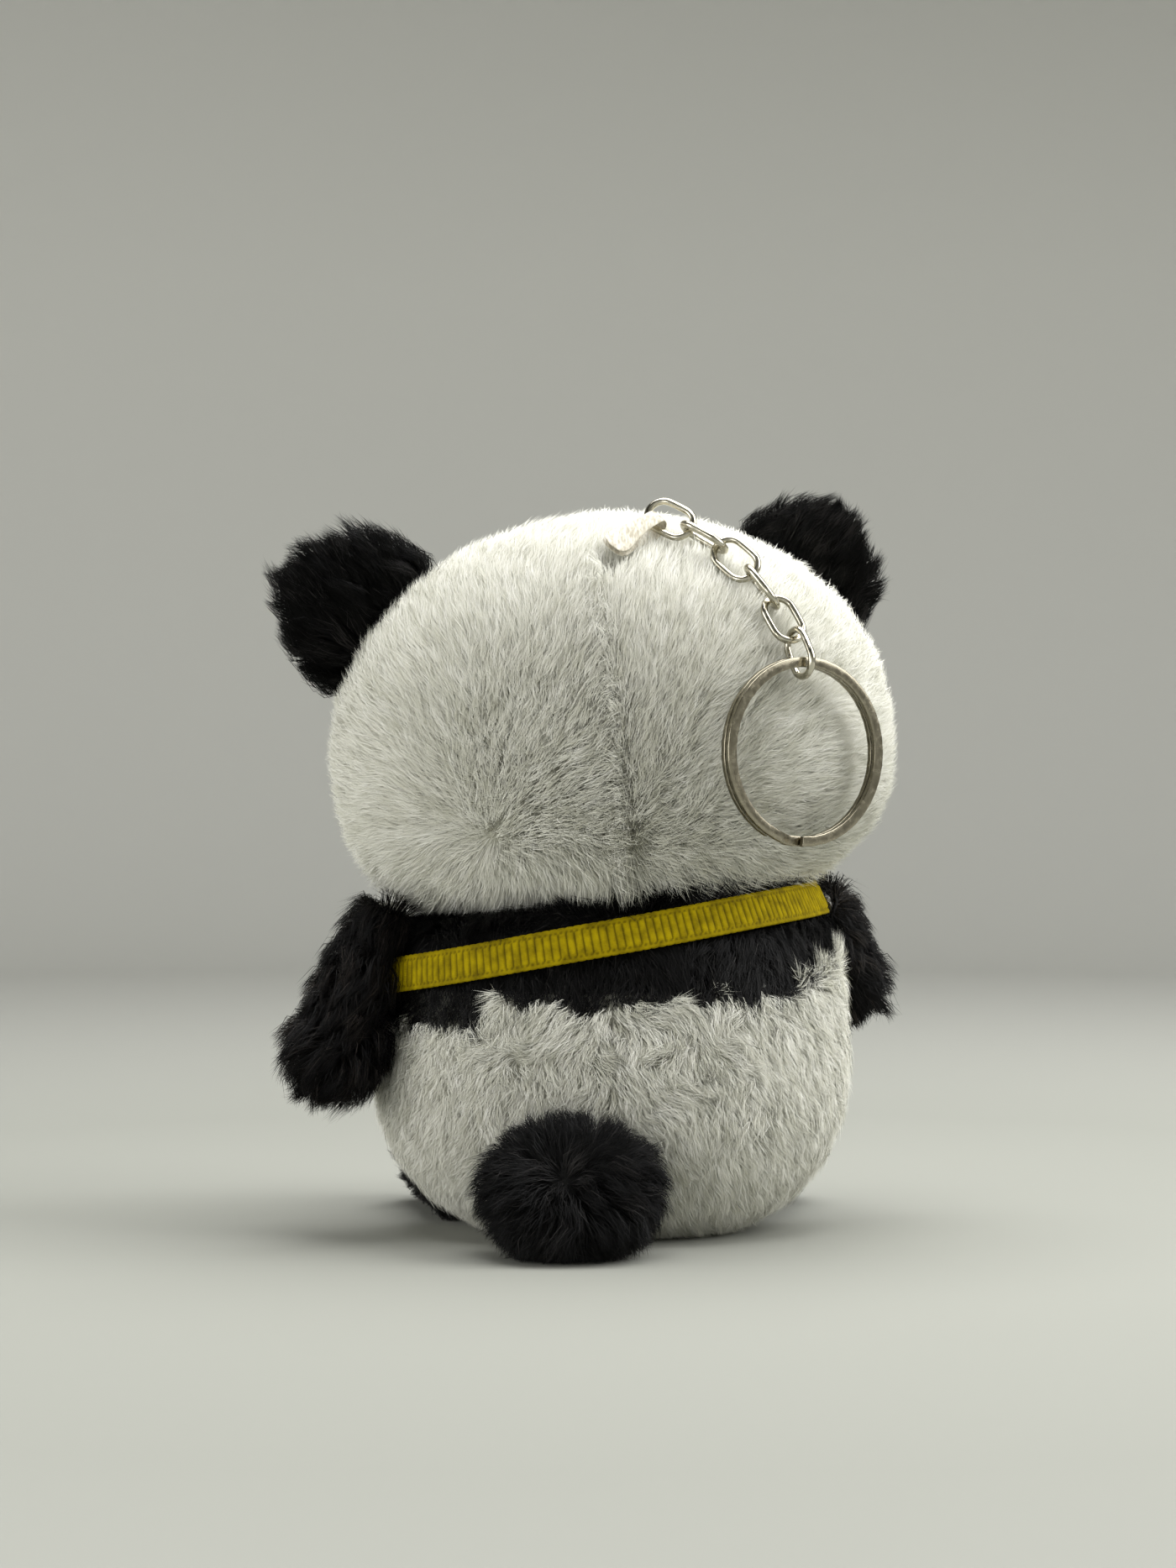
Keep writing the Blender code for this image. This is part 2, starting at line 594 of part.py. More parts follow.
def link_end(frame):
    """The middle of the wire at a link's lower end."""
    return frame @ Vector((0, 0, (WIRE - LINK_LENGTH) / 2))


def upper_bend(frame):
    """The point that the wire of a link's upper end bends round."""
    return frame @ Vector((0, 0, (LINK_LENGTH - LINK_WIDTH) / 2))


def lifting(axis, position):
    """The axis, or its opposite, that swings the ring away from the head."""
    moved = axis.cross(RING_CENTRE - position)
    return axis if moved.dot(RING_CENTRE - HEAD_CENTRE) > 0 else -axis


def loop_frame(link):
    """The frame of the hang loop, and its length to the middle of its fold.

    Its Z points from the seam to the fold, its Y through its layers. The fold holds the first link
    by the stretch of its upper bend that is nearest the seam.
    """
    bend_middle = upper_bend(link)
    square = link.to_3x3() @ Y_AXIS
    fold = bend_middle
    for _ in range(4):
        up = (fold - LOOP_ROOT).normalized()
        towards = (up - square * up.dot(square)).normalized()
        fold = bend_middle - towards * (LINK_WIDTH - WIRE) / 2
    across = square.cross(up).normalized()
    axes = Matrix((across, up.cross(across), up)).transposed().to_4x4()
    return Matrix.Translation(LOOP_ROOT) @ axes, (fold - LOOP_ROOT).length


def make_hang_loop(build, hinge, frame, length):
    """A folded ribbon, its two layers together in the seam and open round the first link's wire."""
    bm = bmesh.new()
    wide, narrow = LOOP_WIDTH / 2, LOOP_FOLD_WIDTH / 2
    start = 0.6 * MM
    layer = [(-0.45 * MM, start, wide), (-0.5 * MM, 0.3 * length, wide), (-1.5 * MM, 0.62 * length, narrow)]
    path = list(layer)
    bends = 9
    for k in range(bends):
        turn = math.pi * k / (bends - 1)
        y, z = -LOOP_FOLD_RADIUS * math.cos(turn), length + LOOP_FOLD_RADIUS * math.sin(turn)
        path.append((y, z, narrow))
    path += [(-y, z, half) for y, z, half in reversed(layer)]
    rows = [[bm.verts.new((side * half, y, z)) for y, z, half in path] for side in (-1, 1)]
    for k in range(len(path) - 1):
        bm.faces.new((rows[0][k], rows[0][k + 1], rows[1][k + 1], rows[1][k]))
    bmesh.ops.recalc_face_normals(bm, faces=bm.faces[:])
    made = build.place("hang_loop", bm, "white_ribbon", frame, hinge)
    solid = made.modifiers.new("thickness", "SOLIDIFY")
    solid.thickness = LOOP_THICK
    solid.offset = 0


def make_split_ring(build, hinge):
    """Two turns of flat wire: one layer, a short step, and the other layer over the first."""
    middle = RING_OUTER - RING_RADIAL / 2
    half = RING_RADIAL / 2
    low = -RING_PITCH / 2
    bm = bmesh.new()
    corners = [(middle - half, low - RING_LAYER / 2), (middle + half, low - RING_LAYER / 2),
               (middle + half, low + RING_LAYER / 2), (middle - half, low + RING_LAYER / 2)]
    stations = []
    layer = math.tau - RING_STEP_ANGLE - RING_END_GAP
    layer_steps, step_steps = 40, 4
    for k in range(layer_steps + 1):
        stations.append((RING_END_GAP + layer * k / layer_steps, 0.0))
    for k in range(1, step_steps + 1):
        share = k / step_steps
        stations.append((RING_END_GAP + layer + RING_STEP_ANGLE * share, share))
    for k in range(1, layer_steps + 1):
        stations.append((math.tau + (layer - RING_END_GAP) * k / layer_steps, 1.0))
    loops = []
    for turn, share in stations:
        lift = RING_PITCH * share * share * (3 - 2 * share)
        c, s = math.cos(turn + RING_STEP_AT), math.sin(turn + RING_STEP_AT)
        loops.append([bm.verts.new((r * c, z + lift, r * s)) for r, z in corners])
    for here, there in zip(loops, loops[1:]):
        for k in range(4):
            bm.faces.new((here[k], there[k], there[(k + 1) % 4], here[(k + 1) % 4]))
    bm.faces.new(loops[0])
    bm.faces.new(reversed(loops[-1]))
    bmesh.ops.recalc_face_normals(bm, faces=bm.faces[:])
    frame = Matrix.Translation(RING_CENTRE) @ Matrix.Rotation(RING_TURN, 4, "Z")
    build.place("split_ring", bm, "nickel_steel", frame, hinge)


def make_chain(build, root):
    """The hang loop, the links and the ring, each on the pivot where it hooks what holds it."""
    frames = link_frames()
    tab, length = loop_frame(frames[-1][1])
    grain = tab.to_3x3() @ X_AXIS
    hinge = build.pivot("hang_loop", LOOP_ROOT, lifting(grain, LOOP_ROOT), root)
    make_hang_loop(build, hinge, tab, length)
    first = frames[-1][1]
    held_at, axis = upper_bend(first), first.to_3x3() @ Y_AXIS
    for name, frame in reversed(frames):
        hinge = build.pivot(name, held_at, lifting(axis, held_at), hinge)
        link = bpy.data.objects.new(name, oval_link())
        link.data.materials.append(build.materials["nickel_steel"])
        bpy.context.scene.collection.objects.link(link)
        build.attach(link, frame, hinge)
        held_at, axis = link_end(frame), frame.to_3x3() @ X_AXIS
    wire_centre = RING_CENTRE + Z_AXIS * (RING_OUTER - RING_RADIAL / 2)
    axis = lifting(frames[0][1].to_3x3() @ Y_AXIS, wire_centre)
    make_split_ring(build, build.pivot("split_ring", wire_centre, axis, hinge))


def main():
    clear_scene()
    build = Builder()
    root = bpy.data.objects.new("plush", None)
    root.empty_display_size = 10 * MM
    bpy.context.scene.collection.objects.link(root)

    head = make_head(build, root)
    for side in (1, -1):
        make_eye(build, root, side, head)
    make_muzzle(build, root)
    head_tool = build.cutter("cut_by_head", HEAD.grown(FLEX_GAP).surface(32, 20), HEAD_FRAME)
    make_ear(build, root, "ear_left", LEFT_EAR, head_tool)
    make_ear(build, root, "ear_right", RIGHT_EAR, head_tool)

    make_torso(build, root)
    make_sash(build, root)
    flank_tool = build.cutter("cut_by_flank", torso_solid(ARM_GAP, 32, 20), TORSO_FRAME)
    make_limb(build, root, "arm_left", LEFT_ARM, -Y_AXIS, flank_tool)
    make_limb(build, root, "arm_right", RIGHT_ARM, Y_AXIS, flank_tool)
    torso_tool = build.cutter("cut_by_torso", torso_solid(FLEX_GAP, 32, 20), TORSO_FRAME)
    make_limb(build, root, "leg_left", LEFT_LEG, -X_AXIS, torso_tool)
    make_limb(build, root, "leg_right", RIGHT_LEG, -X_AXIS, torso_tool)
    make_tail(build, root, torso_tool)
    make_chain(build, root)


main()
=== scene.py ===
import math
from dataclasses import dataclass

import bmesh
import bpy
import numpy as np
from mathutils import Matrix, Vector
from mathutils.bvhtree import BVHTree
from mathutils.kdtree import KDTree


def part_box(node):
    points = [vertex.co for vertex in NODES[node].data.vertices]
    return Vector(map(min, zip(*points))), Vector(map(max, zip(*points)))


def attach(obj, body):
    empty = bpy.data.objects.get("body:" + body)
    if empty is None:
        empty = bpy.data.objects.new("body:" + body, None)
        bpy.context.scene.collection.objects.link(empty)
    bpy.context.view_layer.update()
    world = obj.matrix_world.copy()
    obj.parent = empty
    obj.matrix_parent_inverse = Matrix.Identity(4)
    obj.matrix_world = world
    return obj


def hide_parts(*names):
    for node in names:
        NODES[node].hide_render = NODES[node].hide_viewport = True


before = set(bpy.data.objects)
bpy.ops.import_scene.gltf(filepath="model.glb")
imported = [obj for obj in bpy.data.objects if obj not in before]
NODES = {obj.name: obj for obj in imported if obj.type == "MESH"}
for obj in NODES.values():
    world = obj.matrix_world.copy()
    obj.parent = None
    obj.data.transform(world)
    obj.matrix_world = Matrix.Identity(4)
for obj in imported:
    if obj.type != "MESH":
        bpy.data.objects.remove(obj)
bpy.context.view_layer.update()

MM = 0.001

# The pile and the cloth under it.
MOST_STRANDS = 66000        # three triangles each keep a pile under 200,000
SKIN_DROP = 1.3 * MM        # how far the backing lies under the panel's made surface
ROOT_DEPTH = 0.5 * MM       # how far each strand's root is sunk into the backing
FLOOR_GAP = 0.05 * MM       # no strand hangs lower than this
WELD = 0.02 * MM            # corners closer than this are one corner
OPEN_SIDE = 0.45            # cosine from the filling's nearest point, above which a face is on the outside

# Where the head's pile parts, and what it keeps clear of.
HEAD_ROLL = math.radians(5)
HEAD_MIDDLE_UP = 82.2 * MM
WHORL = np.array((19.7, 28.0, 64.5)) * MM
PARTING = np.array((1.0, 30.0, 57.0)) * MM
MUZZLE = np.array((0.0, -36.0, 72.0)) * MM
LOOP_SEAT = np.array((0.8, 25.5, 113.5)) * MM
LOOP_ROOM = 3.4 * MM        # strands that end about this near the loop's foot are left out

# The join of the black yoke and the white body.
BAND_HEM = 41.0 * MM
# How far down the black pile reaches at the back: millimetres across, and the height there.
HEM_ACROSS = (-40, -34, -27, -20, -12, -3, 0.5, 2.5, 8, 16, 18.5, 21, 27, 33, 40)
HEM_HEIGHT = (46, 45, 40.6, 40.4, 41.0, 40.4, 38.4, 38.4, 39.4, 40.2, 40.6, 36.4, 35.6, 36.4, 40)
TUFTS_FROM = 40.3 * MM      # white tufts stand up where the hem is higher than this

# The grosgrain sash.
RIB_PITCH = 1.1 * MM
RIB_PROFILE = (0.0, 0.75, 1.0, 1.0, 1.0, 0.75)      # one rib's height, from groove to groove
RIB_RISE = 0.22 * MM
SELVEDGE = 0.14             # share of the width that is plain selvedge at each edge
SELVEDGE_RISE = 0.1 * MM
SASH_ROWS = 17              # points across the sash
SASH_LIFT = 0.25 * MM       # its face stands this far off the made ribbon's middle
SASH_LAP = 7 * MM
SASH_THICKNESS = 0.4 * MM
RING_EDGE = 0.14 * MM       # rounding of the split ring's flat wire


def linear(hex_colour):
    """An sRGB hex colour as the linear RGBA a shader socket takes."""
    parts = [int(hex_colour[i:i + 2], 16) / 255 for i in (0, 2, 4)]
    return (*(c / 12.92 if c <= 0.04045 else ((c + 0.055) / 1.055) ** 2.4 for c in parts), 1.0)


def material(name, colour, roughness=0.5, **sockets):
    """A Principled material with its constants set on the shader's own sockets."""
    mat = bpy.data.materials.new(name)
    mat.use_nodes = True
    shader = mat.node_tree.nodes["Principled BSDF"]
    shader.inputs["Base Color"].default_value = linear(colour)
    shader.inputs["Roughness"].default_value = roughness
    for key, value in sockets.items():
        shader.inputs[key.replace("_", " ")].default_value = value
    mat.diffuse_color = linear(colour)
    return mat


def node(mat, kind, links=(), **settings):
    """Adds a node. settings are its properties or its inputs; links are (input, node, output)."""
    made = mat.node_tree.nodes.new(kind)
    for key, value in settings.items():
        if key in made.bl_rna.properties:
            setattr(made, key, value)
        else:
            made.inputs[key.replace("_", " ")].default_value = value
    for socket, source, output in links:
        mat.node_tree.links.new(source.outputs[output], made.inputs[socket])
    return made


def shader_of(mat):
    return mat.node_tree.nodes["Principled BSDF"]


def feed(mat, socket, source, output):
    mat.node_tree.links.new(source.outputs[output], shader_of(mat).inputs[socket])


def two_tone(mat, source, output, dark, light, low=0.3, high=0.7):
    """Colours the material from dark to light by a pattern's value."""
    ramp = node(mat, "ShaderNodeValToRGB", [("Fac", source, output)])
    for stop, place, colour in zip(ramp.color_ramp.elements, (low, high), (dark, light)):
        stop.position = place
        stop.color = linear(colour)
    feed(mat, "Base Color", ramp, "Color")


def relief(mat, source, output, depth, strength=0.6):
    """Bump of the given depth from a pattern's value."""
    bump = node(mat, "ShaderNodeBump", [("Height", source, output)], Strength=strength, Distance=depth)
    feed(mat, "Normal", bump, "Normal")


# --- materials -------------------------------------------------------------------------------

def remap(mat, source, output, old, new):
    """A pattern's value, moved from one range to another and held inside it."""
    limits = {"From_Min": old[0], "From_Max": old[1], "To_Min": new[0], "To_Max": new[1]}
    return node(mat, "ShaderNodeMapRange", [("Value", source, output)], **limits)


def plush_backing(name, dark, light):
    """Knitted polyester backing with the cut feet of the pile: matt, mottled every millimetre or so."""
    mat = material(name, light, 0.95)
    place = node(mat, "ShaderNodeTexCoord")
    mottle = node(mat, "ShaderNodeTexNoise", [("Vector", place, "Object")], Scale=0.9 / MM, Detail=4.0)
    two_tone(mat, mottle, "Fac", dark, light)
    feet = node(mat, "ShaderNodeTexVoronoi", [("Vector", place, "Object")], Scale=1.6 / MM)
    relief(mat, feet, "Distance", 0.25 * MM)
    return mat


def fibre_fill():
    """Carded polyester fibre fill: white crimped strands in loose 2.4 mm tufts, matt."""
    mat = material("polyester_fibre_fill", "F1F0EA", 0.9)
    place = node(mat, "ShaderNodeTexCoord")
    crimp = node(mat, "ShaderNodeTexNoise", [("Vector", place, "Object")],
                 Scale=0.42 / MM, Detail=6.0, Distortion=2.5)
    two_tone(mat, crimp, "Fac", "C9C8C2", "F6F5F0")
    relief(mat, crimp, "Fac", 0.8 * MM)
    return mat


def nickel_plate(name, dark, light, roughness):
    """Nickel plate on steel wire: a warm grey mirror, dulled in 0.9 mm patches by keys and
    drawn out in fine scratches."""
    mat = material(name, light, roughness, Metallic=1.0)
    place = node(mat, "ShaderNodeTexCoord")
    wear = node(mat, "ShaderNodeTexNoise", [("Vector", place, "Object")], Scale=1.1 / MM, Detail=6.0)
    two_tone(mat, wear, "Fac", dark, light, 0.35, 0.65)
    dull = remap(mat, wear, "Fac", (0.35, 0.7), (roughness - 0.05, roughness + 0.07))
    feed(mat, "Roughness", dull, "Result")
    stretch = node(mat, "ShaderNodeMapping", [("Vector", place, "Object")], Scale=(1.0, 1.0, 9.0))
    scratch = node(mat, "ShaderNodeTexNoise", [("Vector", stretch, "Vector")], Scale=1.5 / MM, Detail=3.0)
    relief(mat, scratch, "Fac", 0.02 * MM, 0.15)
    return mat


def grosgrain():
    """Woven polyester grosgrain ribbon: dull mustard yellow, darkened in the grooves between the ribs by
    painted shade.

    The weave map counts ribs along the ribbon and threads across it. The threads are drawn
    coarser than real ones, so that they show."""
    mat = material("grosgrain_ribbon", "8F7C00", 0.75, Specular_IOR_Level=0.1)
    weave = node(mat, "ShaderNodeUVMap", uv_map="weave")
    height = node(mat, "ShaderNodeAttribute", attribute_name="groove_shade_and_stitches")
    # Painted shade: the ribbon is darkest in the grooves and palest on top of the ribs; the stitched rows are
    # dark thread.
    rib = node(mat, "ShaderNodeMix", [("Factor", height, "Fac")], data_type="FLOAT", A=0.25, B=0.8)
    blotch = node(mat, "ShaderNodeTexNoise", [("Vector", weave, "UV")], Scale=0.7, Detail=3.0)
    mixed = node(mat, "ShaderNodeMath", [(0, rib, "Result"), (1, blotch, "Fac")], operation="MULTIPLY")
    two_tone(mat, mixed, "Value", "4F4200", "AE9900", 0.06, 0.5)
    threads = node(mat, "ShaderNodeTexWave", [("Vector", weave, "UV")], Scale=1.6, bands_direction="Y")
    relief(mat, threads, "Fac", 0.05 * MM, 0.5)
    return mat


def organza():
    """Sheer nylon ribbon: fine lengthwise threads, half see-through, satin gleam."""
    mat = material("sheer_nylon_ribbon", "D9D2BC", 0.38, Transmission_Weight=0.25, Sheen_Weight=0.3)
    place = node(mat, "ShaderNodeTexCoord")
    stretch = node(mat, "ShaderNodeMapping", [("Vector", place, "Object")], Scale=(1.0, 0.5, 0.12))
    threads = node(mat, "ShaderNodeTexNoise", [("Vector", stretch, "Vector")], Scale=2.6 / MM, Detail=2.0)
    two_tone(mat, threads, "Fac", "B5AB92", "F2EDDC", 0.35, 0.65)
    relief(mat, threads, "Fac", 0.08 * MM)
    return mat


def glossy_plastic(name, colour, light, roughness):
    """Injection-moulded plastic: one deep colour under a clear moulded skin, with 0.4 mm specks of dust."""
    mat = material(name, colour, roughness, Coat_Weight=0.6)
    place = node(mat, "ShaderNodeTexCoord")
    dust = node(mat, "ShaderNodeTexNoise", [("Vector", place, "Object")], Scale=2.5 / MM, Detail=5.0)
    two_tone(mat, dust, "Fac", colour, light, 0.45, 0.8)
    relief(mat, dust, "Fac", 0.01 * MM, 0.2)
    return mat


def embroidery_thread():
    """Twisted rayon embroidery thread: black, with a lighter line painted along each stitch as its satin
    highlight.
    """
    mat = material("rayon_stitching", "15130F", 0.42, Sheen_Weight=0.3)
    place = node(mat, "ShaderNodeTexCoord")
    twist_and_sheen = node(mat, "ShaderNodeTexWave", [("Vector", place, "Object")], Scale=0.9 / MM, Distortion=1.0)
    # Painted highlight: the lighter bands stand for the satin gleam; the same pattern's bump is the thread's
    # twist.
    two_tone(mat, twist_and_sheen, "Fac", "0C0B09", "2A2722", 0.2, 0.8)
    relief(mat, twist_and_sheen, "Fac", 0.08 * MM)
    return mat


def shades(name, colours, roughness, gloss):
    """Crimped polyester pile in its dye lots, from dark to light. Each strand has one of them. In the black and
    brown piles the lightest shades are painted sheen on single strands.
    """
    return [material(f"{name}_{k}", colour, roughness, Specular_IOR_Level=gloss)
            for k, colour in enumerate(colours)]


# Soft matt white pile, and black pile with a low gleam: blue-black on the body, browner on the arms. The two
# lightest black and brown shades are painted sheen.
WHITE_PILE = shades("white_pile", ("C4C3B4", "D5D4C6", "E3E2D6", "EFEEE4", "F8F7EF"), 0.8, 0.2)
BLACK_PILE = shades("black_pile", ("010101", "030303", "070707", "141313", "2E2C2B"), 0.55, 0.14)
BROWN_PILE = shades("brown_black_pile", ("020101", "040303", "090807", "171412", "332E2A"), 0.55, 0.14)
WHITE_BACKING = plush_backing("white_plush_backing", "A3A296", "C6C5B9")
BLACK_BACKING = plush_backing("black_plush_backing", "030303", "0A0A09")
FILL = fibre_fill()
# The chain is bright; the ring is set darker and a little rougher.
CHAIN_NICKEL = nickel_plate("chain_nickel", "B5B09F", "D2CDBD", 0.18)
RING_NICKEL = nickel_plate("darker_ring_nickel", "8C8676", "9C9684", 0.24)


# --- reading the made parts ------------------------------------------------------------------

def points_of(name):
    """A node's vertices."""
    mesh = NODES[name].data
    found = np.empty(len(mesh.vertices) * 3, np.float32)
    mesh.vertices.foreach_get("co", found)
    return found.reshape(-1, 3).astype(float)


def triangles_of(name):
    """A node's triangles, as three corners each."""
    mesh = NODES[name].data
    mesh.calc_loop_triangles()
    found = np.empty(len(mesh.loop_triangles) * 3, np.int32)
    mesh.loop_triangles.foreach_get("vertices", found)
    return points_of(name)[found.reshape(-1, 3)]


def solid_tree(*names):
    """A search tree over these nodes' triangles."""
    corners = np.concatenate([triangles_of(n) for n in names]).reshape(-1, 3)
    faces = [(k, k + 1, k + 2) for k in range(0, len(corners), 3)]
    return BVHTree.FromPolygons([tuple(p) for p in corners], faces)


def unit(vectors):
    """The vectors at length 1."""
    return vectors / np.maximum(np.linalg.norm(vectors, axis=-1, keepdims=True), 1e-12)


def drift(points, size, seed):
    """Smooth random vectors, about 1 long at most, that change over the given size."""
    rng = np.random.default_rng(seed)
    waves = rng.normal(size=(3, 7, 3)) * 2.2 / size
    phases = rng.uniform(0, math.tau, (3, 7))
    return np.stack([np.sin(points @ waves[k].T + phases[k]).mean(1) * 1.6 for k in range(3)], -1)


def outer_triangles(name, heart, neighbours, reach):
    """The triangles on the outside of a panel, leaving out those within reach of a neighbour.

    The heart is the panel's filling, as a search tree, or the middle of the piece."""
    tris = triangles_of(name)
    centres = tris.mean(1)
    normals = unit(np.cross(tris[:, 1] - tris[:, 0], tris[:, 2] - tris[:, 0]))
    keep = np.zeros(len(tris), bool)
    for k, (centre, normal) in enumerate(zip(centres, normals)):
        if isinstance(heart, BVHTree):
            away = centre - np.array(heart.find_nearest(Vector(centre))[0])
            outside = float(normal @ away) / max(np.linalg.norm(away), 1e-9) > OPEN_SIDE
        else:
            outside = float(normal @ (centre - heart)) > 0.5 * MM
        if outside and neighbours is not None:
            outside = neighbours.find_nearest(Vector(centre))[3] > reach
        keep[k] = outside
    return tris[keep]


def smooth_normals(tris):
    """Corner normals, averaged over the triangles that share each corner."""
    flat = tris.reshape(-1, 3)
    _, index = np.unique(np.round(flat / WELD).astype(np.int64), axis=0, return_inverse=True)
    index = index.reshape(-1)
    face = np.cross(tris[:, 1] - tris[:, 0], tris[:, 2] - tris[:, 0])
    total = np.zeros((index.max() + 1, 3))
    np.add.at(total, index, np.repeat(face, 3, axis=0))
    return unit(total)[index].reshape(-1, 3, 3)


def twice_areas(tris):
    return np.linalg.norm(np.cross(tris[:, 1] - tris[:, 0], tris[:, 2] - tris[:, 0]), axis=1)


def scatter(tris, normals, count, rng):
    """Random points on the triangles by area, with their smooth normals."""
    areas = twice_areas(tris)
    chosen = rng.choice(len(tris), count, p=areas / areas.sum())
    a, b = rng.random(count), rng.random(count)
    fold = a + b > 1
    a[fold], b[fold] = 1 - a[fold], 1 - b[fold]
    share = np.stack([1 - a - b, a, b], -1)[:, :, None]
    return (tris[chosen] * share).sum(1), unit((normals[chosen] * share).sum(1))


def corner_tree(points):
    """A search tree over points."""
    tree = KDTree(len(points))
    for k, point in enumerate(points):
        tree.insert(point, k)
    tree.balance()
    return tree


# --- the pile --------------------------------------------------------------------------------

@dataclass
class Coat:
    """How one panel's pile lies. Lengths are in millimetres."""

    comb: object            # gives each point its way to lie, a share of the lift and of the length
    density: float = 14.0   # strands a square millimetre
    length: float = 5.2
    lift: float = 0.55      # sine of the angle between strand and cloth
    width: float = 0.12     # of a strand at its root; real ones are finer and wouldn't show
    clump: float = 1.7      # distance between clumps
    gather: float = 0.55    # how far a tip leans to its clump's own tip
    curl: float = 0.35      # sideways bend, as a share of the length
    stray: float = 0.25     # how far one strand leaves the comb's way
    sink: float = 1.0       # depth under the made surface at which a strand starts to lean
    colours: tuple = ()
    tone: float = 2.4       # the middle one of the shades
    spread: float = 0.9     # how widely the shades mix
    soft: float = 0.62      # how far a strand is shaded like the surface that it stands on
    dye: object = None      # picks another shade by where a strand is rooted


def flat_to(vectors, normals):
    """The part of each vector that lies in the surface."""
    return vectors - normals * (vectors * normals).sum(-1, keepdims=True)


def strand_rise(coat, points, normals, seed, rng):
    """(middle, tip, length) of a strand rooted at each point, before it leans to its clump."""
    way, lift, scale = coat.comb(points, normals)
    way = unit(flat_to(way, normals) + 1e-6)
    way = unit(way + flat_to(drift(points, 7 * MM, seed), normals) * 0.32)
    way = unit(way + flat_to(rng.normal(size=points.shape), normals) * coat.stray)
    length = coat.length * MM * scale * rng.uniform(0.72, 1.12, len(points))
    up = np.clip(coat.lift * lift * rng.uniform(0.55, 1.6, len(points)), 0.08, 0.98)[:, None]
    flat = np.sqrt(1 - up ** 2)
    # The lower half stands steeper than the upper half, so the strand bows over.
    middle = normals * (0.62 * up + 0.12) + way * flat * 0.36
    tip = normals * up + way * flat
    return points + middle * length[:, None], points + tip * length[:, None], length


def lay_strands(outer, coat, seed, rng):
    """Root, middle, tip, surface direction, clump and length of every strand, and the clump count."""
    normals = smooth_normals(outer)
    area = twice_areas(outer).sum() / 2 * 1e6       # square millimetres
    thin = 1.0
    count = min(MOST_STRANDS, max(40, int(area * coat.density * thin)))
    clumps = max(8, int(area / coat.clump ** 2))
    points, ways = scatter(outer, normals, count, rng)
    roots = points - ways * (SKIN_DROP + ROOT_DEPTH)
    middles, tips, length = strand_rise(coat, points - ways * coat.sink * MM, ways, seed, rng)

    # Each strand leans to the tip of the clump nearest its root, by no more than 0.6 of its length.
    hubs, hub_ways = scatter(outer, normals, clumps, rng)
    _, hub_tips, _ = strand_rise(coat, hubs - hub_ways * coat.sink * MM, hub_ways, seed, rng)
    hub_tips += rng.normal(size=hub_tips.shape) * 0.35 * MM
    tree = corner_tree(hubs)
    own = np.array([tree.find(p)[1] for p in points])
    pull = np.clip(coat.gather * rng.uniform(0.5, 1.15, count), 0, 0.95)
    lean = (hub_tips[own] - tips) * pull[:, None]
    far = np.maximum(np.linalg.norm(lean, axis=1, keepdims=True), 1e-9)
    lean *= np.minimum(1, 0.6 * length[:, None] / far)

    # The curl bends the middle one way and the tip the other.
    bend = flat_to(drift(points, 3.2 * MM, seed + 7) + 0.5 * rng.normal(size=points.shape), ways)
    middles = middles + lean * 0.35 + bend * (coat.curl * 0.22 * length[:, None])
    tips = tips + lean - bend * (coat.curl * 0.3 * length[:, None])
    return (roots, middles, tips, ways, own, length), clumps


def strands_clear(roots, middles, tips, covers):
    """Which strands keep off the loop's foot and pass through none of the covers."""
    keep = np.linalg.norm((tips - LOOP_SEAT) * (1, 0.6, 0.8), axis=1) > LOOP_ROOM
    for cover in covers:
        for k in np.flatnonzero(keep):
            joints = [Vector(ends[k]) for ends in (roots, middles, tips)]
            for a, b in zip(joints, joints[1:]):
                if cover.ray_cast(a, b - a, (b - a).length)[0] is not None:
                    keep[k] = False
                    break
    return keep


def strand_shapes(coat, roots, middles, tips, ways, length, rng):
    """Five points for each strand, two at the root, two half way and the tip, and its shading direction."""
    along = unit(tips - roots)
    side = unit(np.cross(tips - roots, ways) + rng.normal(size=roots.shape) * 0.35 * length[:, None])
    side = unit(flat_to(side, along))
    front = np.cross(side, middles - roots)
    side[(front * ways).sum(-1) < 0] *= -1
    half = side * (coat.width * MM / 2 * rng.uniform(0.7, 1.3, len(roots)))[:, None]
    verts = np.stack([roots - half, roots + half, middles + half * 0.85, middles - half * 0.85, tips], 1)
    verts[:, :, 2] = np.maximum(verts[:, :, 2], FLOOR_GAP)
    face = unit(np.cross(verts[:, 1] - verts[:, 0], middles - roots))
    return verts, unit(ways * coat.soft + face * (1 - coat.soft) + along * 0.12)


def strand_mesh(name, verts, shading, pick, colours):
    """All the strands as one mesh: a four-sided foot and a three-sided end each, in its own shade."""
    each = np.arange(len(verts))[:, None]
    mesh = bpy.data.meshes.new(name)
    mesh.vertices.add(len(verts) * 5)
    mesh.vertices.foreach_set("co", verts.astype(np.float32).ravel())
    mesh.loops.add(len(verts) * 7)
    mesh.loops.foreach_set("vertex_index", (each * 5 + (0, 1, 2, 3, 3, 2, 4)).ravel().astype(np.int32))
    mesh.polygons.add(len(verts) * 2)
    mesh.polygons.foreach_set("loop_start", (each * 7 + (0, 4)).ravel().astype(np.int32))
    mesh.polygons.foreach_set("material_index", np.repeat(pick, 2))
    mesh.polygons.foreach_set("use_smooth", np.ones(len(verts) * 2, bool))
    mesh.update(calc_edges=True)
    normals = mesh.attributes.new("custom_normal", "FLOAT_VECTOR", "POINT")
    normals.data.foreach_set("vector", np.repeat(shading, 5, axis=0).astype(np.float32).ravel())
    for mat in colours:
        mesh.materials.append(mat)
    return mesh


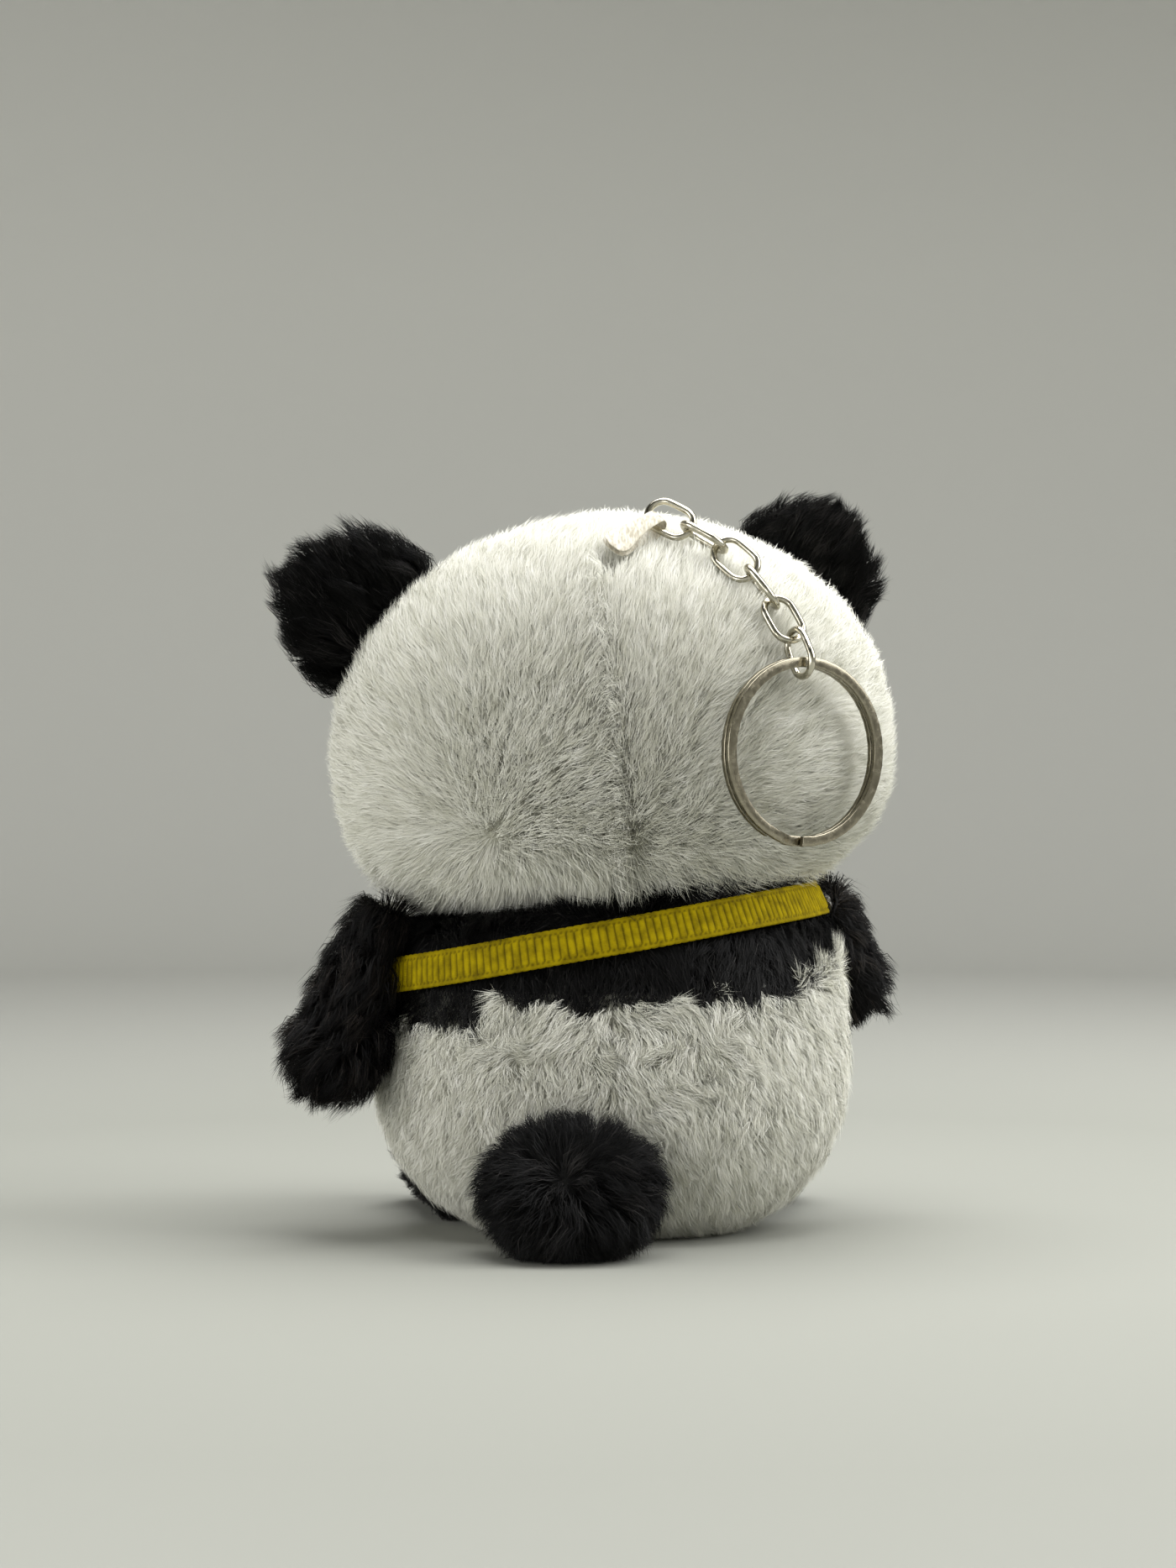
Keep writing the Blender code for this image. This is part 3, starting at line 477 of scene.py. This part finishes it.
def grow_pile(name, outer, coat, body, covers, seed):
    """The pile of one panel: flat tapering strands in clumps, each of one shade."""
    rng = np.random.default_rng(seed)
    strands, clumps = lay_strands(outer, coat, seed, rng)
    keep = strands_clear(*strands[:3], covers)
    roots, middles, tips, ways, own, length = (part[keep] for part in strands)
    verts, shading = strand_shapes(coat, roots, middles, tips, ways, length, rng)
    lot = rng.normal(size=clumps)[own] * 0.75 + rng.normal(size=len(roots)) * 0.8
    pick = np.clip(np.round(coat.tone + coat.spread * lot), 0, 4).astype(np.int32)
    if coat.dye is not None:
        pick = coat.dye(roots, pick, rng)
    pile = bpy.data.objects.new(name, strand_mesh(name, verts, shading, pick, coat.colours))
    bpy.context.scene.collection.objects.link(pile)
    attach(pile, body)


# --- copies of made parts, finished ----------------------------------------------------------

def finished(name, bm, mat):
    """A bmesh as a new smooth-shaded object of one material."""
    mesh = bpy.data.meshes.new(name)
    bm.to_mesh(mesh)
    bm.free()
    mesh.materials.append(mat)
    for face in mesh.polygons:
        face.use_smooth = True
    made = bpy.data.objects.new(name, mesh)
    bpy.context.scene.collection.objects.link(made)
    return made


def merged_copy(node_name, name, mat):
    """A node's mesh as one welded surface, in a new object."""
    bm = bmesh.new()
    bm.from_mesh(NODES[node_name].data)
    bmesh.ops.remove_doubles(bm, verts=bm.verts[:], dist=0.01 * MM)
    bmesh.ops.join_triangles(bm, faces=bm.faces[:], angle_face_threshold=0.6, angle_shape_threshold=0.9)
    return finished(name, bm, mat)


def rounded_copy(node_name, name, mat, levels):
    """A node's mesh with its facets rounded off."""
    made = merged_copy(node_name, name, mat)
    smooth = made.modifiers.new("rounding", "SUBSURF")
    smooth.levels = smooth.render_levels = levels
    return made


def take_over(made, node_name, body):
    """Shows the new piece on the body, in the node's place."""
    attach(made, body)
    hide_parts(node_name)


def sewn_cover(node_name, outer, body, mat):
    """The cloth of one panel, its outer face let in under the pile."""
    made = merged_copy(node_name, node_name.replace("_cover", "") + "_cloth", mat)
    normals = smooth_normals(outer).reshape(-1, 3)
    tree = corner_tree(outer.reshape(-1, 3))
    for vert in made.data.vertices:
        _, index, gap = tree.find(vert.co)
        if gap < WELD:
            vert.co -= Vector(normals[index]) * SKIN_DROP
    take_over(made, node_name, body)


# --- how each part is combed -----------------------------------------------------------------
# Each comb takes points and their normals, and gives the way to lie, the lift and the length scale.

DOWN = np.array((0.0, 0.0, -1.0))

def head_back(points, normals):
    """Fanned out from a whorl low on the left and from the foot of the seam on the right."""
    x, z = points[:, 0:1], points[:, 2:3]
    share = 1 / (1 + np.exp(-(x / MM - 1.0) / 1.6))
    way = unit(points - WHORL) * share + unit(points - PARTING) * (1 - share)
    # Near the neck it hangs straight down, outwards and a little longer.
    low = np.clip((66 * MM - z) / (9 * MM), 0, 1)
    way = way * (1 - 0.6 * low) + low * DOWN * 1.3 + np.sign(x) * low * np.array((0.5, 0, 0))
    hang = low[:, 0] * np.clip(0.75 + drift(points, 7 * MM, 73)[:, 2], 0.3, 1.5)
    # Beside the seam it leans in over it, except on the crown.
    beside = x - (z - HEAD_MIDDLE_UP) * math.tan(HEAD_ROLL)
    below_crown = np.clip((112 * MM - points[:, 2]) / (6 * MM), 0, 1)
    seam = np.exp(-(beside[:, 0] / (1.9 * MM)) ** 2) * below_crown
    way = way * (1 - 0.8 * seam[:, None]) - np.sign(beside) * seam[:, None] * np.array((0.55, 0, 0))
    back = np.clip((points[:, 1] - 12 * MM) / (18 * MM), 0, 1)
    return way, 1.0 + 0.75 * seam + 0.35 * back + 0.5 * hang, 1.0 + 0.18 * seam + 0.35 * hang


def head_front(points, normals):
    """Swept back from the muzzle over the brow and cheeks."""
    reach = np.linalg.norm(points - MUZZLE, axis=1)
    return unit(points - MUZZLE), np.ones(len(points)), np.clip(reach / (16 * MM), 0.45, 1.0)


def hem_height(points):
    """How far down the black pile reaches at each point's place across the back."""
    across = np.interp(points[:, 0] / MM, HEM_ACROSS, HEM_HEIGHT)
    return (across + 1.2 * drift(points, 3 * MM, 77)[:, 0]) * MM


def yoke_dye(roots, pick, rng):
    """Black above the hem and white below it. The hem is uneven only at the back."""
    edge = np.where(roots[:, 1] > -1 * MM, hem_height(roots), BAND_HEM)
    # Mostly the dark black shades, with some lighter strands that are painted sheen.
    dark = np.clip(np.round(rng.normal(1.6, 1.3, len(pick))), 0, 4)
    return np.where(roots[:, 2] > edge, dark + len(WHITE_PILE), pick).astype(np.int32)


def body_back(points, normals):
    """White combed down and out, with tufts that stand up over the hem; black combed down over it."""
    white, black = body_white(points, normals), yoke_black(points, normals)
    edge = hem_height(points)
    above = points[:, 2] > edge
    at_hem = np.exp(-((points[:, 2] - edge) / (2.6 * MM)) ** 2)
    tuft = np.clip((edge - TUFTS_FROM) / (1.5 * MM), 0, 1) * at_hem * ~above
    upward = 0.5 * drift(points, 4 * MM, 97) - 1.1 * DOWN
    way = np.where(above[:, None], black[0], white[0]) * (1 - tuft[:, None]) + upward * tuft[:, None]
    lift, scale = (np.where(above, black[k], white[k]) for k in (1, 2))
    return way, lift + 0.4 * tuft, scale + 0.2 * tuft


def body_white(points, normals):
    """Down and out from the centre seam; the upper back is matted into curls."""
    x, z = points[:, 0], points[:, 2]
    outward = np.sign(x) * np.clip(np.abs(x) / (6 * MM), 0, 1)
    matted = np.exp(-((z - 31 * MM) / (8 * MM)) ** 2) * (np.abs(x) < 22 * MM)
    way = DOWN + outward[:, None] * np.array((0.45, 0, 0)) + matted[:, None] * drift(points, 4 * MM, 91) * 1.6
    groove = np.exp(-(x / (1.6 * MM)) ** 2)
    return way, 0.9 + 0.25 * matted, 0.88 - 0.25 * groove


def yoke_black(points, normals):
    """Combed down over the hem in tufts of uneven length, and up into the nape."""
    z = points[:, 2]
    low = np.clip((46 * MM - z) / (5 * MM), 0, 1)
    nape = np.clip((z - 51 * MM) / (4 * MM), 0, 1)
    down = DOWN + 0.5 * drift(points, 9 * MM, 17)
    way = down * (1 - nape[:, None]) + (0.6 * normals - DOWN) * nape[:, None]
    uneven = np.clip(0.1 + 0.5 * drift(points, 5 * MM, 55)[:, 0], -0.3, 0.5)
    return way, 0.75 - 0.15 * low + 0.9 * nape, 0.85 + low * uneven + 0.3 * nape


def along_axis(start, end, spread=0.5):
    """A comb that runs along a limb and fans a little at its end."""
    start, end = np.array(start) * MM, np.array(end) * MM
    axis = unit(end - start)

    def comb(points, normals):
        reach = np.clip((points - start) @ axis / np.linalg.norm(end - start), 0, 1)
        tuft = 1.0 + 0.28 * drift(points, 5 * MM, 23)[:, 1]
        return axis + normals * 0.05 + spread * drift(points, 8 * MM, 29), 0.75 + 0.35 * reach, tuft
    return comb


def from_centre(centre, down=0.5):
    """A comb that runs out from a middle point and hangs down."""
    centre = np.array(centre) * MM

    def comb(points, normals):
        way = unit(points - centre) + down * DOWN + 0.7 * drift(points, 7 * MM, 41)
        return way, np.ones(len(points)), 1.0 + 0.2 * drift(points, 5 * MM, 43)[:, 0]
    return comb


# --- the plush -------------------------------------------------------------------------------

SIDES = ("left", "right")
HEAD_SHELL = ("head_back_left", "head_back_right", "head_face")
BODY_SHELL = ("body_back_left", "body_back_right", "body_front",
              "yoke_back_left", "yoke_back_right", "yoke_front")
SASH = solid_tree("ribbon_sash")
LOOP = solid_tree("hang_loop")
HEAD_FILL = solid_tree("head_stuffing")
BODY_FILL = solid_tree("body_stuffing")
HEAD_TREE = solid_tree(*HEAD_SHELL)
TRUNK_TREE = solid_tree(*HEAD_SHELL, *BODY_SHELL, "base_panel")

# Each limb's axis, from where it is sewn on to its end, in millimetres.
LIMBS = {
    "arm_left": ((36.5, 9, 51), (44.4, 12.5, 31.2)),
    "arm_right": ((-34.5, -5, 52.5), (-39.2, -17, 41.5)),
    "leg_left": ((23.5, -11, 9.7), (26.5, -33.5, 10.3)),
    "leg_right": ((-21, -18, 9.7), (-24.5, -36, 10.3)),
}


def box_middle(*names):
    """The middle of the box round these nodes."""
    corners = np.concatenate([points_of(n) for n in names])
    return (corners.min(0) + corners.max(0)) / 2


def plush_panel(node_name, body, heart, comb, backing, fill, seed,
                neighbours=None, reach=0.0, covers=(), **coat):
    """One panel as its cloth and its pile. The covers are solids that no strand goes through."""
    outer = outer_triangles(node_name, heart, neighbours, reach)
    sewn_cover(node_name, outer, body, backing)
    grow_pile(node_name.replace("_cover", "") + "_pile", outer, Coat(comb, **coat), body, covers, seed)


def make_head():
    white = dict(colours=WHITE_PILE, tone=2.6, spread=0.85)
    short = dict(lift=0.4, clump=1.2, gather=0.4, curl=0.2)
    for k, side in enumerate(SIDES):
        plush_panel(f"head_back_{side}", "plush", HEAD_FILL, head_back, WHITE_BACKING, 0.9, 11 + k,
                    covers=(LOOP,), density=15, length=4.9, lift=0.46, width=0.11, clump=1.3, gather=0.34,
                    curl=0.2, **white)
    plush_panel("head_face", "plush", HEAD_FILL, head_front, WHITE_BACKING, 0.9, 13,
                density=10.5, length=4.4, lift=0.42, width=0.11, clump=1.35, gather=0.36, curl=0.2, **white)
    plush_panel("muzzle_cover", "plush", box_middle("muzzle_stuffing"), from_centre((0, -30, 74), 0.2),
                WHITE_BACKING, 0.9, 15, neighbours=solid_tree("head_face"), reach=0.8 * MM,
                covers=(solid_tree("nose"),), density=14, length=2.6, **short, **white)
    for k, side in enumerate(SIDES):
        plush_panel(f"eye_patch_{side}", "plush", HEAD_FILL, from_centre((0, -34, 84), 0.1), BLACK_BACKING,
                    0.5, 17 + k, covers=(solid_tree(f"eye_{side}"),), density=15, length=2.8, **short,
                    colours=BLACK_PILE, tone=1.4, spread=0.8)


def make_trunk():
    two_dyes = dict(colours=WHITE_PILE + BLACK_PILE, tone=2.5, spread=0.9, dye=yoke_dye)
    for k, side in enumerate(SIDES):
        plush_panel(f"body_back_{side}", "plush", BODY_FILL, body_back, WHITE_BACKING, 0.8, 21 + k,
                    covers=(SASH,), density=16, length=4.5, lift=0.5, width=0.105, clump=1.2, gather=0.36,
                    curl=0.5, **two_dyes)
        plush_panel(f"yoke_back_{side}", "plush", BODY_FILL, body_back, BLACK_BACKING, 0.8, 31 + k,
                    covers=(SASH, HEAD_TREE), density=17, length=5.0, lift=0.44, width=0.11, clump=1.5,
                    gather=0.55, curl=0.4, **two_dyes)
    plush_panel("body_front", "plush", BODY_FILL, body_white, WHITE_BACKING, 0.8, 24,
                density=11, length=4.5, lift=0.46, width=0.11, clump=1.4, gather=0.4, curl=0.3, **two_dyes)
    plush_panel("yoke_front", "plush", BODY_FILL, yoke_black, BLACK_BACKING, 0.8, 34,
                covers=(SASH, HEAD_TREE), density=14, length=4.8, lift=0.42, clump=1.8, gather=0.6, curl=0.4,
                colours=BLACK_PILE, tone=1.5, spread=1.1, soft=0.35)
    sewn_cover("base_panel", outer_triangles("base_panel", BODY_FILL, None, 0), "plush", WHITE_BACKING)


def make_ears():
    """Two panels an ear, combed from the root at the head to the rim. The right one's pile is set lighter."""
    for k, side in enumerate(SIDES):
        heart = box_middle(f"ear_{side}_back", f"ear_{side}_front")
        low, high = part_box(f"ear_{side}_back")
        root = np.array(((low.x if side == "left" else high.x), (low.y + high.y) / 2, low.z)) / MM
        tip = heart / MM + (heart / MM - root) * 1.2
        for j, face in enumerate(("back", "front")):
            plush_panel(f"ear_{side}_{face}", f"ear_{side}", heart, along_axis(root, tip, 0.5), BLACK_BACKING,
                        0.6, 41 + 2 * k + j, neighbours=HEAD_TREE, reach=1.2 * MM, covers=(HEAD_TREE,),
                        density=14, length=5.8, lift=0.48, clump=1.8, gather=0.66, curl=0.3, colours=BLACK_PILE,
                        tone=2.0 if side == "right" else 1.2, spread=1.45, soft=0.3)


def make_limbs():
    """Arms with long brown-black pile, legs with shorter black pile, and the round tail."""
    sewn_on = dict(neighbours=TRUNK_TREE, reach=1.6 * MM, covers=(TRUNK_TREE,), spread=1.45, soft=0.3)
    arm = dict(density=13, length=6.6, colours=BROWN_PILE)
    leg = dict(density=11, length=4.8, colours=BLACK_PILE)
    for k, (limb, (start, end)) in enumerate(LIMBS.items()):
        is_arm = limb.startswith("arm")
        plush_panel(f"{limb}_cover", limb, solid_tree(f"{limb}_stuffing"),
                    along_axis(start, end, 0.6 if is_arm else 0.4), BLACK_BACKING, 0.7, 51 + k,
                    lift=0.5, clump=2.0, gather=0.76, curl=0.4, tone=1.5, **(arm if is_arm else leg), **sewn_on)
    plush_panel("tail_cover", "tail", solid_tree("tail_stuffing"), from_centre((7.5, 44, 14), 0.3),
                BLACK_BACKING, 0.8, 61, density=14, length=6.4, lift=0.55, clump=1.9, gather=0.62, curl=0.45,
                colours=BLACK_PILE, tone=1.2, **sewn_on)


def make_fillings():
    bodies = {"head": "plush", "muzzle": "plush", "body": "plush", "tail": "tail"}
    bodies.update((limb, limb) for limb in LIMBS)
    for part, body in bodies.items():
        made = merged_copy(f"{part}_stuffing", f"{part}_fibre_fill", FILL)
        take_over(made, f"{part}_stuffing", body)


# --- face, sash and hardware -----------------------------------------------------------------

def make_face_parts():
    eye_black = glossy_plastic("moulded_eye_acrylic", "050506", "1B1B1D", 0.12)
    nose_black = glossy_plastic("moulded_nose_plastic", "0B0A0A", "242220", 0.3)
    washer = glossy_plastic("natural_nylon_washer", "CFCBBE", "E4E1D6", 0.45)
    for side in SIDES:
        take_over(rounded_copy(f"eye_{side}", f"eye_button_{side}", eye_black, 1), f"eye_{side}", "plush")
        NODES[f"eye_washer_{side}"].data.materials.clear()
        NODES[f"eye_washer_{side}"].data.materials.append(washer)
    take_over(rounded_copy("nose", "nose_button", nose_black, 1), "nose", "plush")
    stitch_mouth(embroidery_thread())


def stitch_mouth(thread):
    """A line down from the nose and two short curves, in overlapping satin stitches."""
    drop, reach, sag = 2.0 * MM, 4.2 * MM, 1.7 * MM
    thick, over_pile = 0.45 * MM, 1.5 * MM
    muzzle = solid_tree("muzzle_cover")
    low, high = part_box("nose")
    x, z = (low.x + high.x) / 2, low.z
    lines = [[(x, z - drop * t) for t in np.linspace(0, 1, 5)]]
    for side in (-1, 1):
        lines.append([(x + side * reach * t, z - drop - sag * math.sin(math.pi * 0.62 * t))
                      for t in np.linspace(0, 1, 8)])
    bm = bmesh.new()
    for line in lines:
        ends = [muzzle.ray_cast(Vector((px, -1, pz)), Vector((0, 1, 0)))[0] for px, pz in line]
        for a, b in zip(ends, ends[1:]):
            if a is None or b is None:
                continue
            turn = (b - a).to_track_quat("Z", "Y").to_matrix().to_4x4()
            size = Matrix.Diagonal((thick, thick, (b - a).length * 0.75, 1))
            place = Matrix.Translation((a + b) / 2 - Vector((0, over_pile, 0))) @ turn @ size
            bmesh.ops.create_uvsphere(bm, u_segments=10, v_segments=8, radius=1, matrix=place)
    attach(finished("mouth_stitching", bm, thread), "plush")


def sash_stations():
    """The middle of each of the made sash's sections, in order round the body, and its width as a vector."""
    corners = np.unique(np.round(points_of("ribbon_sash") / (0.01 * MM)), axis=0) * 0.01 * MM
    angle = np.arctan2(corners[:, 1], corners[:, 0])
    order = np.argsort(angle)
    corners = corners[order]
    gaps = np.diff(np.append(angle[order], angle[order][0] + math.tau))
    first = int(np.argmax(gaps[:8])) + 1        # four corners a section, so a wide gap ends one within eight
    corners = np.roll(corners, -first, axis=0).reshape(-1, 4, 3)
    middles, acrosses = [], []
    for group in corners:
        by_height = group[np.argsort(group[:, 2])]
        middles.append(group.mean(0))
        acrosses.append(by_height[2:].mean(0) - by_height[:2].mean(0))
    return np.array(middles), np.array(acrosses)


def round_spline(values, at):
    """Closed Catmull-Rom curve through the values, at the given places in steps."""
    count = len(values)
    base = np.floor(at).astype(int)
    t = (at - base)[:, None]
    p0, p1, p2, p3 = (values[(base + k) % count] for k in (-1, 0, 1, 2))
    return 0.5 * (2 * p1 + (p2 - p0) * t + (2 * p0 - 5 * p1 + 4 * p2 - p3) * t ** 2
                  + (3 * p1 - p0 - 3 * p2 + p3) * t ** 3)


def sash_course():
    """Middle, width and outward direction at each step along the sash, which laps at the front."""
    middles, acrosses = sash_stations()
    count = len(middles)
    front = int(np.argmin(middles[:, 1]))
    girth = np.linalg.norm(np.diff(np.vstack([middles, middles[:1]]), axis=0), axis=1).sum()
    lap = count * SASH_LAP / girth
    steps = round(girth / RIB_PITCH) * len(RIB_PROFILE)
    places = np.linspace(front - lap / 2, front + count + lap / 2, steps + 1)
    line, across = round_spline(middles, places), round_spline(acrosses, places)
    outward = unit(np.cross(unit(np.gradient(line, axis=0)), across))
    outward[(outward * (line - line.mean(0))).sum(-1) < 0] *= -1
    return line, across, outward


def make_sash():
    """Ribbed ribbon wound once round the body, its ends lapped at the front."""
    line, across, outward = sash_course()
    steps, last_row = len(line) - 1, SASH_ROWS - 1
    bm = bmesh.new()
    bmesh.ops.create_grid(bm, x_segments=steps, y_segments=last_row, size=1)
    weave = bm.loops.layers.uv.new("weave")
    height = bm.verts.layers.float.new("groove_shade_and_stitches")
    cells = {}
    for vert in bm.verts:
        i, j = round((vert.co.x + 1) / 2 * steps), round((vert.co.y + 1) / 2 * last_row)
        cells[vert.index] = (i, j)
        v = j / last_row
        edge = min(v, 1 - v)
        rib = RIB_PROFILE[i % len(RIB_PROFILE)]
        ribbed = edge >= SELVEDGE * 0.9
        rise = RIB_RISE * rib * ribbed + SELVEDGE_RISE * (0 < edge < SELVEDGE * 0.7)
        # The first end lies over the last, and the ribbon waves a little.
        over = 0.55 * MM * max(0.0, 1 - i / (steps * 0.045))
        wave = 0.15 * MM * math.sin(7 * math.tau * i / steps)
        scallop = 0.1 * MM * rib * math.copysign(j in (0, last_row), v - 0.5)
        vert.co = Vector(line[i] + across[i] * (v - 0.5) * 1.03
                         + outward[i] * (SASH_LIFT + rise + over + wave)
                         + across[i] / np.linalg.norm(across[i]) * scallop)
        # The value set below is the ribbon's painted shade, low in the grooves and high on the ribs; the
        # stitched rows are dark thread.
        stitched = j in (2, last_row - 2) and i % 4 < 2
        vert[height] = 0.1 if stitched else rib if ribbed else 0.7
    for face in bm.faces:
        for loop in face.loops:
            i, j = cells[loop.vert.index]
            loop[weave].uv = (i / len(RIB_PROFILE), j / 4)
    bmesh.ops.recalc_face_normals(bm, faces=bm.faces[:])
    heart = Vector(line.mean(0))
    outside = sum(f.normal.dot(f.calc_center_median() - heart) > 0 for f in bm.faces)
    if outside < len(bm.faces) / 2:
        bmesh.ops.reverse_faces(bm, faces=bm.faces[:])
    made = finished("yellow_sash", bm, grosgrain())
    thick = made.modifiers.new("thickness", "SOLIDIFY")
    thick.thickness, thick.offset = SASH_THICKNESS, -1
    take_over(made, "ribbon_sash", "plush")


def make_hardware():
    """The ribbon loop, the chain's six wire links and the split ring."""
    take_over(rounded_copy("hang_loop", "ribbon_loop", organza(), 2), "hang_loop", "hang_loop")
    for k in range(1, 7):
        take_over(rounded_copy(f"link_{k}", f"wire_link_{k}", CHAIN_NICKEL, 2), f"link_{k}", f"link_{k}")
    ring = merged_copy("split_ring", "key_ring", RING_NICKEL)
    edges = ring.modifiers.new("edges", "BEVEL")
    edges.width, edges.segments, edges.limit_method, edges.angle_limit = RING_EDGE, 3, "ANGLE", 0.7
    edges.harden_normals = True
    take_over(ring, "split_ring", "split_ring")


# --- studio ----------------------------------------------------------------------------------

FLOOR_FLAT, FLOOR_BEND, WALL_TOP = 0.78, 0.32, 1.1      # metres: flat radius, bend radius, height
LIGHTS = {      # place, aim, watts and side of each square lamp
    "top_light": ((-0.06, -0.04, 0.62), (0, 0, 0.06), 6.5, 0.6),
    "left_light": ((0.50, 0.20, 0.16), (0.02, 0, 0.03), 0.95, 0.3),
    "low_light": ((0.26, 0.44, 0.09), (0.03, 0, 0.02), 0.3, 0.16),
    "right_light": ((-0.52, 0.12, 0.44), (0, 0, 0.07), 3.6, 0.45),
    "fill_light": ((0.05, 0.62, 0.10), (0, 0, 0.03), 0.05, 0.3),
}


def floor_paint():
    """Matt emulsion on board, with painted shade that makes it greyer where the object stands and painted light
    that makes it paler up the sweep round it.
    """
    mat = material("matt_emulsion", "90918B", 0.9)
    place = node(mat, "ShaderNodeTexCoord")
    reach = node(mat, "ShaderNodeVectorMath", [(0, place, "Object")], operation="LENGTH")
    # Painted light and shade: the colour runs from darker round the object to paler on the sweep and wall.
    far = remap(mat, reach, "Value", (0.2, 1.2), (0.0, 1.0))
    two_tone(mat, far, "Result", "96978F", "DFDFD9", 0.0, 1.0)
    return mat


def make_floor():
    """A round floor that sweeps up into a wall on every side."""
    turns = np.linspace(0.1, math.pi / 2, 14)
    profile = [(0.002, 0.0), (0.3, 0.0), (FLOOR_FLAT, 0.0)]
    profile += [(FLOOR_FLAT + FLOOR_BEND * math.sin(t), FLOOR_BEND * (1 - math.cos(t))) for t in turns]
    profile.append((FLOOR_FLAT + FLOOR_BEND, WALL_TOP))
    bm = bmesh.new()
    line = [bm.verts.new((x, 0, z)) for x, z in profile]
    edges = [bm.edges.new(pair) for pair in zip(line, line[1:])]
    bmesh.ops.spin(bm, geom=line + edges, cent=(0, 0, 0), axis=(0, 0, 1),
                   angle=math.tau, steps=96, use_merge=True)
    bmesh.ops.remove_doubles(bm, verts=bm.verts[:], dist=0.01 * MM)
    bmesh.ops.holes_fill(bm, edges=[e for e in bm.edges if e.is_boundary and e.verts[0].co.z < 0.01])
    bmesh.ops.recalc_face_normals(bm, faces=bm.faces[:])
    middle = min(bm.faces, key=lambda f: f.calc_center_median().length)
    if middle.normal.z < 0:
        bmesh.ops.reverse_faces(bm, faces=bm.faces[:])
    finished("studio_floor", bm, floor_paint())


def make_studio():
    """The floor and the soft lights inside it, with a little light from all round."""
    make_floor()
    for name, (place, aim, power, side) in LIGHTS.items():
        data = bpy.data.lights.new(name, "AREA")
        data.energy, data.size = power, side
        lamp = bpy.data.objects.new(name, data)
        lamp.location = place
        lamp.rotation_euler = (Vector(aim) - Vector(place)).to_track_quat("-Z", "Y").to_euler()
        bpy.context.scene.collection.objects.link(lamp)
    world = bpy.data.worlds.new("studio_air")
    world.use_nodes = True
    air = world.node_tree.nodes["Background"]
    air.inputs["Color"].default_value = linear("E9E8E2")
    air.inputs["Strength"].default_value = 0.05
    bpy.context.scene.world = world
    bpy.context.scene.view_settings.view_transform = "Standard"


def make_camera():
    """A long lens level with the head, straight behind the plush."""
    data = bpy.data.cameras.new("camera")
    data.sensor_fit = "VERTICAL"
    data.sensor_height = data.sensor_width = 36
    data.lens = 77.13
    camera = bpy.data.objects.new("camera", data)
    camera.location = (3.8 * MM, 560 * MM, 74 * MM)
    camera.rotation_euler = (math.pi / 2, 0, math.pi)
    bpy.context.scene.collection.objects.link(camera)
    bpy.context.scene.camera = camera


make_camera()
make_studio()
make_fillings()
make_head()
make_trunk()
make_ears()
make_limbs()
make_face_parts()
make_sash()
make_hardware()
